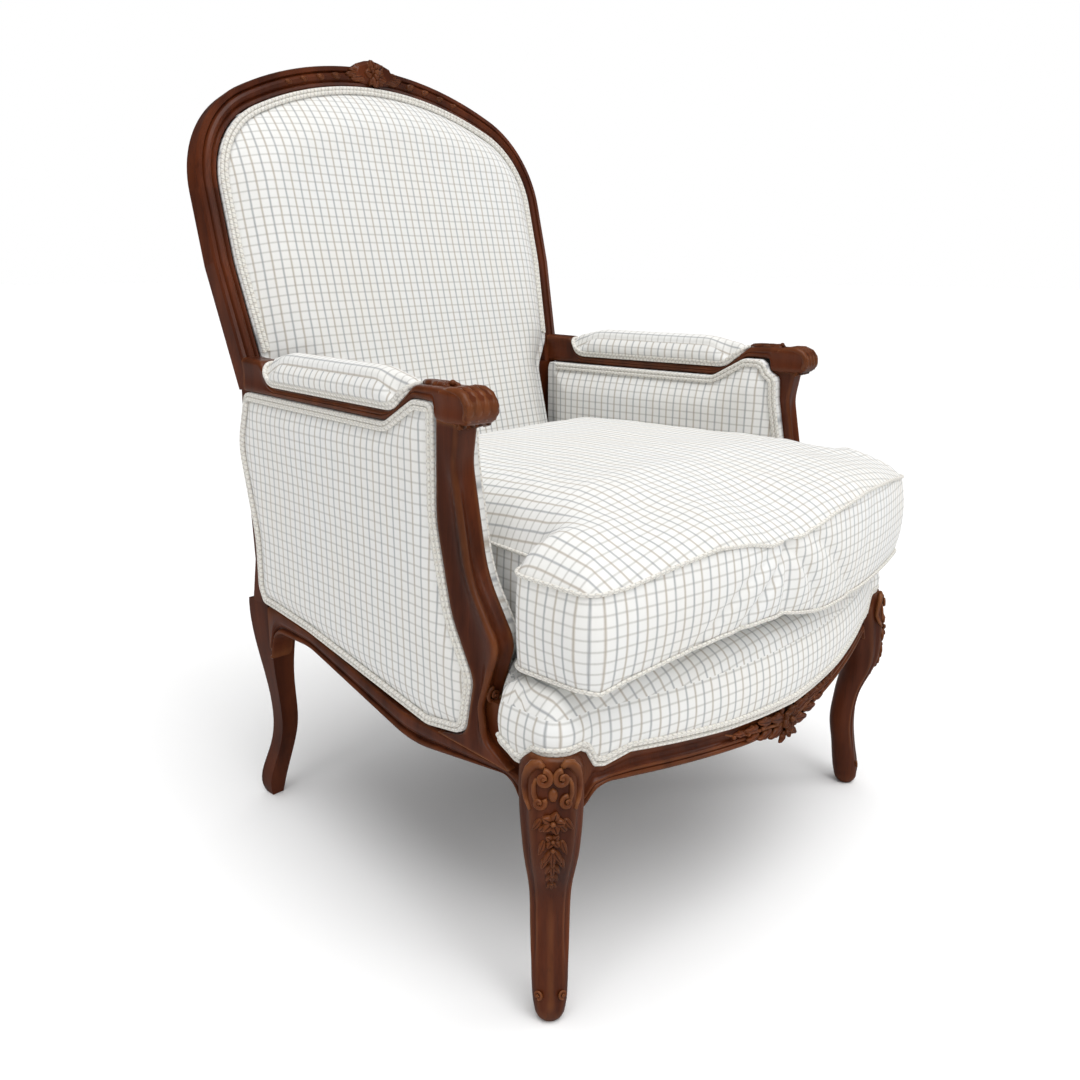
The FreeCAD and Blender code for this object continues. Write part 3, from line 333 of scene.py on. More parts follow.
class Shape:
    """Gathers the points, faces and weave coordinates of one piece."""

    def __init__(self) -> None:
        """Starts with nothing."""
        self.points: list[Vector] = []
        self.faces: list[tuple[int, ...]] = []
        self.weaves: list[tuple[Spot, ...]] = []

    def ring(self, places: Iterable[Vector]) -> list[int]:
        """Adds points and returns their numbers."""
        first = len(self.points)
        self.points.extend(places)
        return list(range(first, len(self.points)))

    def face(self, corners: Sequence[int], weave: Sequence[Spot] | None = None) -> None:
        """Adds a face, with the weave coordinates of its corners in millimetres."""
        self.faces.append(tuple(corners))
        self.weaves.append(tuple(weave) if weave else tuple((0.0, 0.0) for _ in corners))

    def bridge(
        self,
        low: Sequence[int],
        high: Sequence[int],
        low_weave: Sequence[Spot] | None = None,
        high_weave: Sequence[Spot] | None = None,
    ) -> None:
        """Joins two closed rings of the same count with four-sided faces.

        Args:
            low: numbers of the first ring's points.
            high: numbers of the second ring's points.
            low_weave: weave coordinates of the first ring, its first point repeated at the end.
            high_weave: the same for the second ring.
        """
        count = len(low)
        for i in range(count):
            j = (i + 1) % count
            weave = None
            if low_weave is not None and high_weave is not None:
                weave = (low_weave[i], low_weave[i + 1], high_weave[i + 1], high_weave[i])
            self.face((low[i], low[j], high[j], high[i]), weave)

    def loft(self, rings: Sequence[Sequence[Vector]]) -> None:
        """Joins closed rings of places in a row, with a face over each end.

        Args:
            rings: the places of each ring, all of the same count.
        """
        numbers = [self.ring(r) for r in rings]
        for low, high in zip(numbers, numbers[1:]):
            self.bridge(low, high)
        self.face(list(reversed(numbers[0])))
        self.face(numbers[-1])

    def drape(self, edge: list[int], rings: Sequence[Sequence[Vector]], cloth: Sequence[np.ndarray]) -> None:
        """Covers a crowned face ring by ring, from its edge to its middle.

        Args:
            edge: numbers of the points that the first ring joins.
            rings: the places of each ring inward.
            cloth: flat coordinates of the edge and then of each ring.
        """
        weave = closed_weave(cloth[0])
        for places, flat in zip(rings, cloth[1:]):
            ring, laid = self.ring(places), closed_weave(flat)
            self.bridge(edge, ring, weave, laid)
            edge, weave = ring, laid
        self.face(edge, weave[:-1])

    def build(self, name: str, material: Material, shade_angle: float = 180.0) -> bpy.types.Object:
        """Makes the object.

        Args:
            name: the piece's name.
            material: its finish.
            shade_angle: edges sharper than this many degrees stay sharp.

        Returns:
            The object, linked to the scene, with its normals outward.
        """
        mesh = bpy.data.meshes.new(name)
        mesh.from_pydata([p * MM for p in self.points], [], self.faces)
        layer = mesh.uv_layers.new(name=WEAVE)
        flat = [c for face in self.weaves for c in face]
        layer.data.foreach_set("uv", np.array(flat, np.float32).ravel() * MM)
        shaped = bmesh.new()
        shaped.from_mesh(mesh)
        wide = [f for f in shaped.faces if len(f.verts) > 4]
        bmesh.ops.triangulate(shaped, faces=wide, ngon_method="BEAUTY")
        bmesh.ops.recalc_face_normals(shaped, faces=shaped.faces)
        for face in shaped.faces:
            face.smooth = True
        limit = math.radians(shade_angle)
        if shade_angle < 180:
            for edge in shaped.edges:
                edge.smooth = edge.calc_face_angle(0.0) < limit
        shaped.to_mesh(mesh)
        shaped.free()
        mesh.materials.append(material)
        piece = linked(name, mesh)
        LOG.info("%s: %d faces", name, len(mesh.polygons))
        return piece


def linked(name: str, data: bpy.types.ID) -> bpy.types.Object:
    """Puts data in the scene as an object."""
    made = bpy.data.objects.new(name, data)
    bpy.context.scene.collection.objects.link(made)
    return made


def place(
    piece: bpy.types.Object, slot: Slot, body: str = CHAIR, replaces: Sequence[str] = ()
) -> bpy.types.Object:
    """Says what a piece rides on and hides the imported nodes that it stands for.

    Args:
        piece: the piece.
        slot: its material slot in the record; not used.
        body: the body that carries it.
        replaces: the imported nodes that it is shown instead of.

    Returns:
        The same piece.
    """
    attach(piece, body)
    if replaces:
        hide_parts(*replaces)
    return piece


# Finishes


class Wire:
    """A shader socket that works in Python expressions."""

    def __init__(self, tree: bpy.types.NodeTree, socket: bpy.types.NodeSocket) -> None:
        """Wraps an output socket of a tree."""
        self.tree = tree
        self.socket = socket

    def _math(self, operation: str, *terms: Wire | float, clamp: bool = False) -> Wire:
        """Adds one Math node.

        Args:
            operation: the node's operation.
            terms: its inputs in order.
            clamp: whether the result is held between 0 and 1.

        Returns:
            The node's output.
        """
        node = self.tree.nodes.new("ShaderNodeMath")
        node.operation = operation
        node.use_clamp = clamp
        for index, term in enumerate(terms):
            if isinstance(term, Wire):
                self.tree.links.new(term.socket, node.inputs[index])
            else:
                node.inputs[index].default_value = term
        return Wire(self.tree, node.outputs[0])

    def __add__(self, other: Wire | float) -> Wire:
        """The sum."""
        return self._math("ADD", self, other)

    __radd__ = __add__

    def __sub__(self, other: Wire | float) -> Wire:
        """The difference."""
        return self._math("SUBTRACT", self, other)

    def __rsub__(self, other: float) -> Wire:
        """What is left of a number."""
        return self._math("SUBTRACT", other, self)

    def __mul__(self, other: Wire | float) -> Wire:
        """The product."""
        return self._math("MULTIPLY", self, other)

    __rmul__ = __mul__

    def __truediv__(self, other: Wire | float) -> Wire:
        """The quotient."""
        return self._math("DIVIDE", self, other)

    def sine(self) -> Wire:
        """The value's sine."""
        return self._math("SINE", self)

    def fraction(self) -> Wire:
        """The value's part after the point."""
        return self._math("FRACT", self)

    def distance_to(self, other: float) -> Wire:
        """How far the value is from another."""
        return self._math("ABSOLUTE", self - other)

    def between(self, low: float, high: float) -> Wire:
        """A share that is 0 at low and 1 at high."""
        return self._math("DIVIDE", self - low, high - low, clamp=True)

    def least(self, other: Wire | float) -> Wire:
        """The smaller value."""
        return self._math("MINIMUM", self, other)

    def most(self, other: Wire | float) -> Wire:
        """The larger value."""
        return self._math("MAXIMUM", self, other)


class Graph:
    """The node tree of a material or a world, filled in by short calls."""

    def __init__(self, owner: Material | bpy.types.World) -> None:
        """Empties the owner's tree."""
        self.owner = owner
        owner.use_nodes = True
        self.tree = owner.node_tree
        self.tree.nodes.clear()

    @classmethod
    def material(cls, name: str) -> Graph:
        """The empty tree of a new material."""
        return cls(bpy.data.materials.new(name))

    def node(self, kind: str, sockets: dict[object, object] | None = None, **settings: object) -> bpy.types.Node:
        """Adds a node.

        Args:
            kind: Blender's name of the node type, without "ShaderNode" before it.
            sockets: its inputs by name or number, each a Wire, a number, a vector or a colour.
            settings: the node's properties by name.

        Returns:
            The node.
        """
        made = self.tree.nodes.new(f"ShaderNode{kind}")
        for key, value in settings.items():
            setattr(made, key, value)
        for key, value in (sockets or {}).items():
            if isinstance(value, Wire):
                self.tree.links.new(value.socket, made.inputs[key])
            else:
                made.inputs[key].default_value = value
        return made

    def wire(self, node: bpy.types.Node, output: str | int = 0) -> Wire:
        """An output of a node as a Wire."""
        return Wire(self.tree, node.outputs[output])

    def mix(self, share: Wire | float, first: object, second: object) -> Wire:
        """Two colours mixed by the share of the second."""
        node = self.node("Mix", {0: share, 6: first, 7: second}, data_type="RGBA")
        return self.wire(node, 2)

    def noise(self, where: Wire, scale: float, detail: float = 3.0, roughness: float = 0.5) -> Wire:
        """Noise at a place, from 0 to 1."""
        sockets = {"Vector": where, "Scale": scale, "Detail": detail, "Roughness": roughness}
        return self.wire(self.node("TexNoise", sockets))

    def object_place(self) -> Wire:
        """The place in the object's own coordinates."""
        return self.wire(self.node("TexCoord"), "Object")

    def stretched(self, where: Wire, scale: Corner, turn: Corner) -> Wire:
        """A place turned and scaled."""
        node = self.node("Mapping", {"Vector": where, "Rotation": turn, "Scale": scale})
        return self.wire(node)

    def bump(self, height: Wire, distance: float, strength: float = 1.0) -> Wire:
        """A normal from a height, where a distance in metres is the height of 1."""
        sockets: dict[object, object] = {"Height": height, "Distance": distance, "Strength": strength}
        return self.wire(self.node("Bump", sockets))

    def weave(self) -> tuple[Wire, Wire, Wire]:
        """The cloth's own place, and its coordinates across and up in metres."""
        cloth = self.wire(self.node("UVMap", uv_map=WEAVE))
        parts = self.node("SeparateXYZ", {0: cloth})
        return cloth, self.wire(parts, "X"), self.wire(parts, "Y")

    def surface(self, sockets: dict[object, object]) -> Material:
        """Ends the material with one Principled shader."""
        self.node("OutputMaterial", {0: self.wire(self.node("BsdfPrincipled", sockets))})
        return self.owner


class Grain(Enum):
    """The way the wood's grain runs, as turns of the texture's long axis."""

    UPRIGHT = (0.0, 0.0, 0.0)
    ACROSS = (0.0, math.radians(90), 0.0)
    DEPTH = (math.radians(90), 0.0, 0.0)


@dataclass(frozen=True)
class PolishedWood:
    """Red-brown show wood with a satin polish, thin on its edges, with painted highlights on its convex edges and
    painted shade in its hollows.
    """

    name: str
    grain: Grain = Grain.UPRIGHT
    # Strength of the edge wear, the painted highlights and the painted shade in hollows; 0 for packed wood.
    wear: float = 1.0
    dark: Colour = (0.014, 0.0040, 0.0020, 1)
    body: Colour = (0.041, 0.0076, 0.0022, 1)
    light: Colour = (0.135, 0.0300, 0.0078, 1)
    # Golden colour of the convex edges: wood where the polish is thin, lightened further as a painted highlight.
    worn: Colour = (0.30, 0.110, 0.036, 1)

    def make(self) -> Material:
        """Builds the material."""
        g = Graph.material(self.name)
        place_ = g.object_place()
        along = g.stretched(place_, (1.0, 1.0, 0.07), self.grain.value)
        figure = g.noise(along, 26.0, 5.0, 0.6)
        pores = g.noise(g.stretched(place_, (1.0, 1.0, 0.035), self.grain.value), 420.0, 2.0, 0.6)
        cloud = g.noise(place_, 9.0, 3.0)
        colour = g.mix(figure.between(0.30, 0.72), self.body, self.light)
        colour = g.mix((cloud.between(0.42, 0.70)) * 0.42, colour, self.dark)
        colour = g.mix(pores.between(0.56, 0.70) * 0.30, colour, self.dark)
        edge = g.wire(g.node("NewGeometry"), "Pointiness")
        # Convex edges, found by pointiness, get a painted highlight on top of the real wear of the polish.
        rubbed_and_highlit = edge.between(0.507, 0.575) * (0.30 + g.noise(place_, 55.0, 2.0) * 0.8)
        colour = g.mix(rubbed_and_highlit.least(0.85) * self.wear * 0.7, colour, self.worn)
        # Hollows, found by low pointiness, are darkened: painted shade, with some of the dark wax that gathers there.
        colour = g.mix((1 - edge.between(0.40, 0.492)) * 0.75 * self.wear, colour, self.dark)
        rough = 0.25 + cloud * 0.12 + pores * 0.06
        relief = g.bump(pores * 0.6 + figure * 0.4, 0.00022, 0.55)
        return g.surface(
            {
                "Base Color": colour,
                "Roughness": rough,
                "Normal": relief,
                "Specular IOR Level": 0.19,
                "Coat Weight": 0.06,
                "Coat Roughness": 0.14,
            }
        )


@dataclass(frozen=True)
class PlainWood:
    """Unpolished frame wood under the upholstery."""

    name: str = "frame_beech"

    def make(self) -> Material:
        """Builds the material."""
        g = Graph.material(self.name)
        place_ = g.object_place()
        figure = g.noise(g.stretched(place_, (0.08, 1.0, 1.0), (0, 0, 0)), 60.0, 4.0, 0.6)
        flecks = g.noise(g.stretched(place_, (0.2, 1.0, 1.0), (0, 0, 0)), 420.0, 2.0)
        colour = g.mix(figure, (0.36, 0.21, 0.105, 1), (0.56, 0.38, 0.21, 1))
        colour = g.mix(flecks.between(0.6, 0.7) * 0.5, colour, (0.24, 0.13, 0.06, 1))
        return g.surface({"Base Color": colour, "Roughness": 0.62 + flecks * 0.15, "Normal": g.bump(flecks, 0.0002)})


@dataclass(frozen=True)
class WindowpaneCheck:
    """Cream upholstery cloth with a fine check of blue-grey and tan lines.

    Sizes are in metres of cloth.
    """

    name: str = "check_cloth"
    upright_pitch: float = 0.0118
    cross_pitch: float = 0.0110
    upright_width: float = 0.0027
    cross_width: float = 0.0023
    thread: float = 0.0010
    ground: Colour = (0.805, 0.808, 0.796, 1)
    warm: Colour = (0.810, 0.800, 0.768, 1)
    blue: Colour = (0.285, 0.296, 0.310, 1)
    tan: Colour = (0.385, 0.330, 0.268, 1)
    cross: Colour = (0.450, 0.440, 0.410, 1)

    def make(self) -> Material:
        """Builds the material."""
        g = Graph.material(self.name)
        cloth, across, up = g.weave()
        wander = (g.noise(cloth, 32.0, 2.0) - 0.5) * 0.0009
        across, up = across + wander, up + wander
        uprights = (across / self.upright_pitch).fraction().distance_to(0.5) * self.upright_pitch
        crossings = (up / self.cross_pitch).fraction().distance_to(0.5) * self.cross_pitch
        every_other = (across / (2 * self.upright_pitch)).fraction().between(0.499, 0.501)
        upright_line = 1 - uprights.between(self.upright_width * 0.10, self.upright_width * 0.72)
        cross_line = 1 - crossings.between(self.cross_width * 0.08, self.cross_width * 0.72)
        warp, weft = ((way * (math.tau / self.thread)).sine() for way in (across, up))
        slub = g.noise(g.stretched(cloth, (1.0, 0.12, 1.0), (0, 0, 0)), 900.0, 2.0)
        colour = g.mix(g.noise(cloth, 7.0, 3.0).between(0.35, 0.7), self.ground, self.warm)
        colour = g.mix((warp * weft * 0.5 + 0.5) * 0.10 + slub * 0.05, colour, (0.66, 0.65, 0.62, 1))
        colour = g.mix(cross_line * (0.47 + slub * 0.35), colour, self.cross)
        line = g.mix(every_other, self.blue, self.tan)
        colour = g.mix(upright_line * (0.60 + slub * 0.34), colour, line)
        relief = warp.most(weft) * 0.5 + upright_line * 0.9 + cross_line * 0.5 + slub * 0.4
        return g.surface(
            {
                "Base Color": colour,
                "Roughness": 0.86,
                "Normal": g.bump(relief, 0.00016, 0.6),
                "Sheen Weight": 0.12,
                "Sheen Roughness": 0.55,
            }
        )


@dataclass(frozen=True)
class CordCloth:
    """The check cloth cut on the slant and sewn round a cord, so its lines wind about it."""

    name: str = "cord_cloth"
    lay: float = 0.0062
    stitch: float = 0.0031

    def make(self) -> Material:
        """Builds the material."""
        g = Graph.material(self.name)
        along = g.wire(g.node("Attribute", attribute_name="along"), "Fac")
        around = g.wire(g.node("Attribute", attribute_name="around"), "Fac")
        turns = (along / self.lay + around).fraction()
        line = 1 - turns.distance_to(0.5).between(0.06, 0.20)
        other = 1 - (along / (self.lay * 1.9) - around).fraction().distance_to(0.5).between(0.05, 0.14)
        strands = ((along / self.stitch + around * 2.0) * math.tau).sine()
        place_ = g.object_place()
        colour = g.mix(g.noise(place_, 14.0, 2.0), (0.735, 0.72, 0.675, 1), (0.79, 0.765, 0.70, 1))
        colour = g.mix(line * 0.46, colour, (0.36, 0.35, 0.34, 1))
        colour = g.mix(other * 0.34, colour, (0.42, 0.35, 0.27, 1))
        relief = g.bump(strands * 0.5 + line * 0.3, 0.00030, 0.8)
        return g.surface({"Base Color": colour, "Roughness": 0.88, "Normal": relief, "Sheen Weight": 0.10})


@dataclass(frozen=True)
class CoarseCloth:
    """A plain woven cloth such as webbing, hessian or dust cover.

    Sizes are in metres.
    """

    name: str
    light: Colour
    dark: Colour
    thread: float = 0.0014
    stripe: float = 0.0

    def make(self) -> Material:
        """Builds the material."""
        g = Graph.material(self.name)
        cloth, across, up = g.weave()
        warp, weft = ((way * (math.tau / self.thread)).sine() for way in (across, up))
        fibres = g.noise(cloth, 700.0, 3.0, 0.7)
        colour = g.mix((warp * weft * 0.35 + 0.35 + fibres * 0.4).least(1.0), self.light, self.dark)
        if self.stripe:
            band = 1 - across.distance_to(self.stripe).between(0.0012, 0.0020)
            colour = g.mix(band * 0.8, colour, (0.10, 0.045, 0.03, 1))
        relief = g.bump(warp.most(weft) + fibres * 0.5, 0.0004, 0.8)
        return g.surface({"Base Color": colour, "Roughness": 0.93, "Normal": relief})


class Finishes:
    """Every material of the chair, made once."""

    def __init__(self) -> None:
        """Builds the materials."""
        # How strongly each grain's show wood gets edge wear, painted highlights and painted shade.
        wear = {Grain.UPRIGHT: 1.0, Grain.ACROSS: 0.8, Grain.DEPTH: 0.5}
        self.wood = {
            grain: PolishedWood(f"show_wood_{grain.name.lower()}", grain, wear[grain]).make() for grain in Grain
        }
        self.packed_wood = {
            grain: PolishedWood(f"packed_wood_{grain.name.lower()}", grain, 0.0).make() for grain in Grain
        }
        self.beech = PlainWood().make()
        self.check = WindowpaneCheck().make()
        self.cord = CordCloth().make()
        self.webbing = CoarseCloth("jute_webbing", (0.46, 0.34, 0.19, 1), (0.27, 0.18, 0.09, 1), 0.0022, 0.006).make()
        self.hessian = CoarseCloth("hessian_cloth", (0.50, 0.38, 0.22, 1), (0.24, 0.16, 0.08, 1), 0.0026).make()
        self.dust = CoarseCloth("dust_cloth", (0.055, 0.052, 0.05, 1), (0.02, 0.019, 0.018, 1), 0.0010).make()


# Sewn cords


class CordTree:
    """A node tree that turns drawn lines into round cords with their travel and turn stored."""

    RADIUS = "Cord Radius"
    SPACING = "Point Spacing"
    CLOTH = "Cord Material"
    POINT_GAP = 2.4
    SIDES = 12

    def __init__(self) -> None:
        """Builds the tree."""
        self.tree = bpy.data.node_groups.new("sewn_cord", "GeometryNodeTree")
        face = self.tree.interface
        face.new_socket("Geometry", in_out="INPUT", socket_type="NodeSocketGeometry")
        face.new_socket(self.RADIUS, in_out="INPUT", socket_type="NodeSocketFloat")
        face.new_socket(self.SPACING, in_out="INPUT", socket_type="NodeSocketFloat")
        face.new_socket(self.CLOTH, in_out="INPUT", socket_type="NodeSocketMaterial")
        face.new_socket("Geometry", in_out="OUTPUT", socket_type="NodeSocketGeometry")
        new = self.tree.nodes.new
        start, end = new("NodeGroupInput"), new("NodeGroupOutput")
        line = new("GeometryNodeMeshToCurve")
        even = new("GeometryNodeResampleCurve")
        even.mode = "LENGTH"
        travel, turn = new("GeometryNodeSplineParameter"), new("GeometryNodeSplineParameter")
        keep_travel, keep_turn = self._stored("along"), self._stored("around")
        circle = new("GeometryNodeCurvePrimitiveCircle")
        circle.inputs["Resolution"].default_value = self.SIDES
        sweep = new("GeometryNodeCurveToMesh")
        sweep.inputs["Fill Caps"].default_value = True
        dress = new("GeometryNodeSetMaterial")
        shade = new("GeometryNodeSetShadeSmooth")
        real = new("GeometryNodeRealizeInstances")
        for source, given, target, taken in (
            (start, "Geometry", line, "Mesh"),
            (line, "Curve", even, "Curve"),
            (start, self.SPACING, even, "Length"),
            (even, "Curve", keep_travel, "Geometry"),
            (travel, "Length", keep_travel, "Value"),
            (start, self.RADIUS, circle, "Radius"),
            (circle, "Curve", keep_turn, "Geometry"),
            (turn, "Factor", keep_turn, "Value"),
            (keep_travel, "Geometry", sweep, "Curve"),
            (keep_turn, "Geometry", sweep, "Profile Curve"),
            (sweep, "Mesh", shade, "Geometry"),
            (shade, "Geometry", real, "Geometry"),
            (real, "Geometry", dress, "Geometry"),
            (start, self.CLOTH, dress, "Material"),
            (dress, "Geometry", end, "Geometry"),
        ):
            self.tree.links.new(source.outputs[given], target.inputs[taken])

    def _stored(self, name: str) -> bpy.types.Node:
        """A node that keeps a number on each point of a curve."""
        node = self.tree.nodes.new("GeometryNodeStoreNamedAttribute")
        node.data_type = "FLOAT"
        node.domain = "POINT"
        node.inputs["Name"].default_value = name
        return node

    def identifier(self, name: str) -> str:
        """The identifier of an input socket, by its name."""
        return next(
            item.identifier for item in self.tree.interface.items_tree if item.name == name and item.in_out == "INPUT"
        )

    def along(
        self, name: str, lines: Sequence[Run], radius: float, cloth: Material
    ) -> bpy.types.Object:
        """Sews cords along lines.

        Args:
            name: the piece's name.
            lines: the points of each line in millimetres, and whether it is closed.
            radius: the cord's radius in millimetres.
            cloth: the cord's material.

        Returns:
            The finished piece.
        """
        drawn = bpy.data.meshes.new(name + "_lines")
        points: list[Vector] = []
        edges: list[tuple[int, int]] = []
        for line, closed in lines:
            first = len(points)
            points.extend(p * MM for p in line)
            edges.extend((first + i, first + i + 1) for i in range(len(line) - 1))
            if closed:
                edges.append((len(points) - 1, first))
        drawn.from_pydata(points, edges, [])
        holder = linked(name + "_drawn", drawn)
        modifier = holder.modifiers.new("cord", "NODES")
        modifier.node_group = self.tree
        modifier[self.identifier(self.RADIUS)] = radius * MM
        modifier[self.identifier(self.SPACING)] = self.POINT_GAP * MM
        modifier[self.identifier(self.CLOTH)] = cloth
        bpy.context.view_layer.update()
        baked = bpy.data.meshes.new_from_object(holder.evaluated_get(bpy.context.evaluated_depsgraph_get()))
        bpy.data.objects.remove(holder)
        baked.name = name
        if not baked.materials:
            baked.materials.append(cloth)
        piece = linked(name, baked)
        LOG.info("%s: %d faces", name, len(baked.polygons))
        return piece


# Upholstery


@dataclass
class Upholstery:
    """What every covered part needs.

    Args:
        finishes: the chair's materials.
        cords: the tree that sews the welts.
        cord_radius: radius of the welts' cords.
    """

    finishes: Finishes
    cords: CordTree
    cord_radius: float = 2.7

    def cover(self, form: TackedPanel | StuffedForm, fill: float, *nodes: str, body: str = CHAIR) -> None:
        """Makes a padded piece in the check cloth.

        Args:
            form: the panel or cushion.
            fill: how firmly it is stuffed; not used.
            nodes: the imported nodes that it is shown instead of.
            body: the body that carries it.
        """
        piece = place(form.build(self.finishes.check), Slot.CHECK, body, nodes)

    def welt(
        self, node: str, lines: Sequence[Run], name: str = "", body: str = CHAIR
    ) -> None:
        """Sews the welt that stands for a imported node.

        Args:
            node: the node.
            lines: the points of each cord and whether it is closed.
            name: the piece's name, if it isn't the node's with a cord after it.
            body: the body that carries it.
        """
        piece = self.cords.along(name or f"{node}_cord", lines, self.cord_radius, self.finishes.cord)
        place(piece, Slot.WELT, body, (node,))


def ring_share(row: int, rows: int) -> float:
    """How far towards the hub a ring of a crowned face lies, from 0 to almost 1."""
    return (row / rows) ** RING_EASE * RING_REACH


def hub_points(outline: np.ndarray, hub: Hub) -> np.ndarray:
    """The point of a hub's line that each point of an outline shrinks to.

    Args:
        outline: the closed outline.
        hub: the two ends of the line.

    Returns:
        One point of the line for each point of the outline.
    """
    start, end = (np.array(h, float) for h in hub)
    run = end - start
    share = np.clip(((outline - start) @ run) / max(float(run @ run), 1e-9), 0, 1)
    return start + share[:, None] * run


def held_run(spots: Sequence, held: np.ndarray) -> list:
    """The points of a closed line that are held, in order from where they begin.

    Args:
        spots: the line's points.
        held: whether each one is held.

    Returns:
        The held points.
    """
    first = int(np.argmax(held & ~np.roll(held, 1)))
    order = [(first + k) % len(spots) for k in range(len(spots))]
    return [spots[i] for i in order if held[i]]


@dataclass(frozen=True)
class Waves:
    """The small unevenness of a stuffed face.

    Args:
        wide: size of its large waves, in millimetres.
        fine: size of its small waves.
        share: how strong the small waves are.
    """

    wide: float
    fine: float
    share: float

    def moved(self, spot: Vector, out: Vector, pull: float, full: float) -> Vector:
        """A place of the face moved outward by the waves, as far as pull and full say."""
        uneven = ripple(spot, self.wide) + self.share * ripple(spot, self.fine)
        return spot + out * (uneven * pull * full)


PANEL_WAVES = Waves(70.0, 28.0, 0.5)
CUSHION_WAVES = Waves(85.0, 33.0, 0.45)


def closed_weave(flat: np.ndarray) -> list[Spot]:
    """The weave coordinates of a closed ring laid flat, its first point repeated at the end."""
    return [tuple(p) for p in flat] + [tuple(flat[0])]


def laid_flat(rings: Sequence[Sequence[Vector]], core: np.ndarray, outline: np.ndarray) -> list[np.ndarray]:
    """The cloth coordinates of rings over a crowned face, so that the check isn't stretched where it is steep.

    Args:
        rings: the places of each ring, from the outline in.
        core: the point of the plan that each point of the outline shrinks to.
        outline: the plan's outline.

    Returns:
        Flat coordinates for each ring.
    """
    way = unit(outline - core)
    spots = np.array([[tuple(p) for p in ring] for ring in rings])
    steps = np.linalg.norm(np.diff(spots, axis=0), axis=2)
    last = np.linalg.norm(outline - core, axis=1) * 0.015
    travel = np.vstack([np.cumsum(steps[::-1], axis=0)[::-1], np.zeros(len(outline))]) + last
    return [core + way * row[:, None] for row in travel]


@dataclass
class TackedPanel:
    """A stuffed panel held in a wooden opening, with a crowned face inside a flat band for the welt.

    Args:
        name: the piece's name.
        plane: where it lies.
        outline: its edge, in millimetres on the plane.
        hub: two points of the line that its rings shrink to.
        rise: height of the band under the welt.
        crown: how much higher the middle stands.
        shoulder: how far from the welt the face reaches its full height.
        depth: how far the panel goes in behind the plane.
        band: width of the flat band.
        pull: size of the small unevenness of the stuffing.
        rows: number of rings from the edge to the hub.
        sag: how much higher the middle stands at points of it, for cloth that hangs.
    """

    name: str
    plane: Plane
    outline: np.ndarray
    hub: Hub
    rise: float
    crown: float
    shoulder: float
    depth: float
    band: float = 11.0
    pull: float = 0.8
    rows: int = 34
    sag: Callable[[np.ndarray], np.ndarray] | None = None

    def height(self, points: np.ndarray) -> np.ndarray:
        """The face's height above the plane at points of it."""
        inside = edge_distance(points, self.outline)
        share = np.clip((inside - self.band) / self.shoulder, 0, 1)
        dome = np.sin(share * math.pi / 2) ** 0.85
        tall = self.rise + self.crown * dome
        if self.sag is not None:
            tall = tall + self.sag(points) * dome
        return tall

    def build(self, material: Material) -> bpy.types.Object:
        """Makes the panel's closed mesh."""
        shape = Shape()
        core = hub_points(self.outline, self.hub)
        rings = []
        for row in range(self.rows + 1):
            t = ring_share(row, self.rows)
            flat = self.outline * (1 - t) + core * t
            tall = self.height(flat)
            share = np.clip((tall - self.rise) / max(self.crown, 1e-6), 0, 1)
            rings.append([
                PANEL_WAVES.moved(spot, self.plane.out, self.pull, full)
                for spot, full in zip(self.plane.ring(flat, tall), share)
            ])
        cloth = laid_flat(rings, core, self.outline)
        rear = shape.ring(self.plane.at(x, y, -self.depth) for x, y in self.outline)
        shape.face(rear, [tuple(p) for p in self.outline])
        shape.drape(rear, rings, [cloth[0], *cloth])
        return shape.build(self.name, material)

    def welt_lines(
        self, radius: float, keep: Callable[[float, float], bool] | None = None
    ) -> list[Run]:
        """The two lines of a double welt round the panel.

        Args:
            radius: the cord's radius.
            keep: says which points of the outline have a welt; every one if left out.

        Returns:
            Each line's points and whether it is closed.
        """
        lines = []
        for gap in (radius + 0.2, radius * 3.0 + 0.1):
            flat = inset(self.outline, gap)
            lift = self.rise + radius * (0.45 if gap < radius * 2 else 0.75)
            if keep is None:
                lines.append(([self.plane.at(x, y, lift) for x, y in flat], True))
                continue
            held = np.array([keep(x, y) for x, y in flat])
            lines.append(([self.plane.at(x, y, lift) for x, y in held_run(flat, held)], False))
        return lines


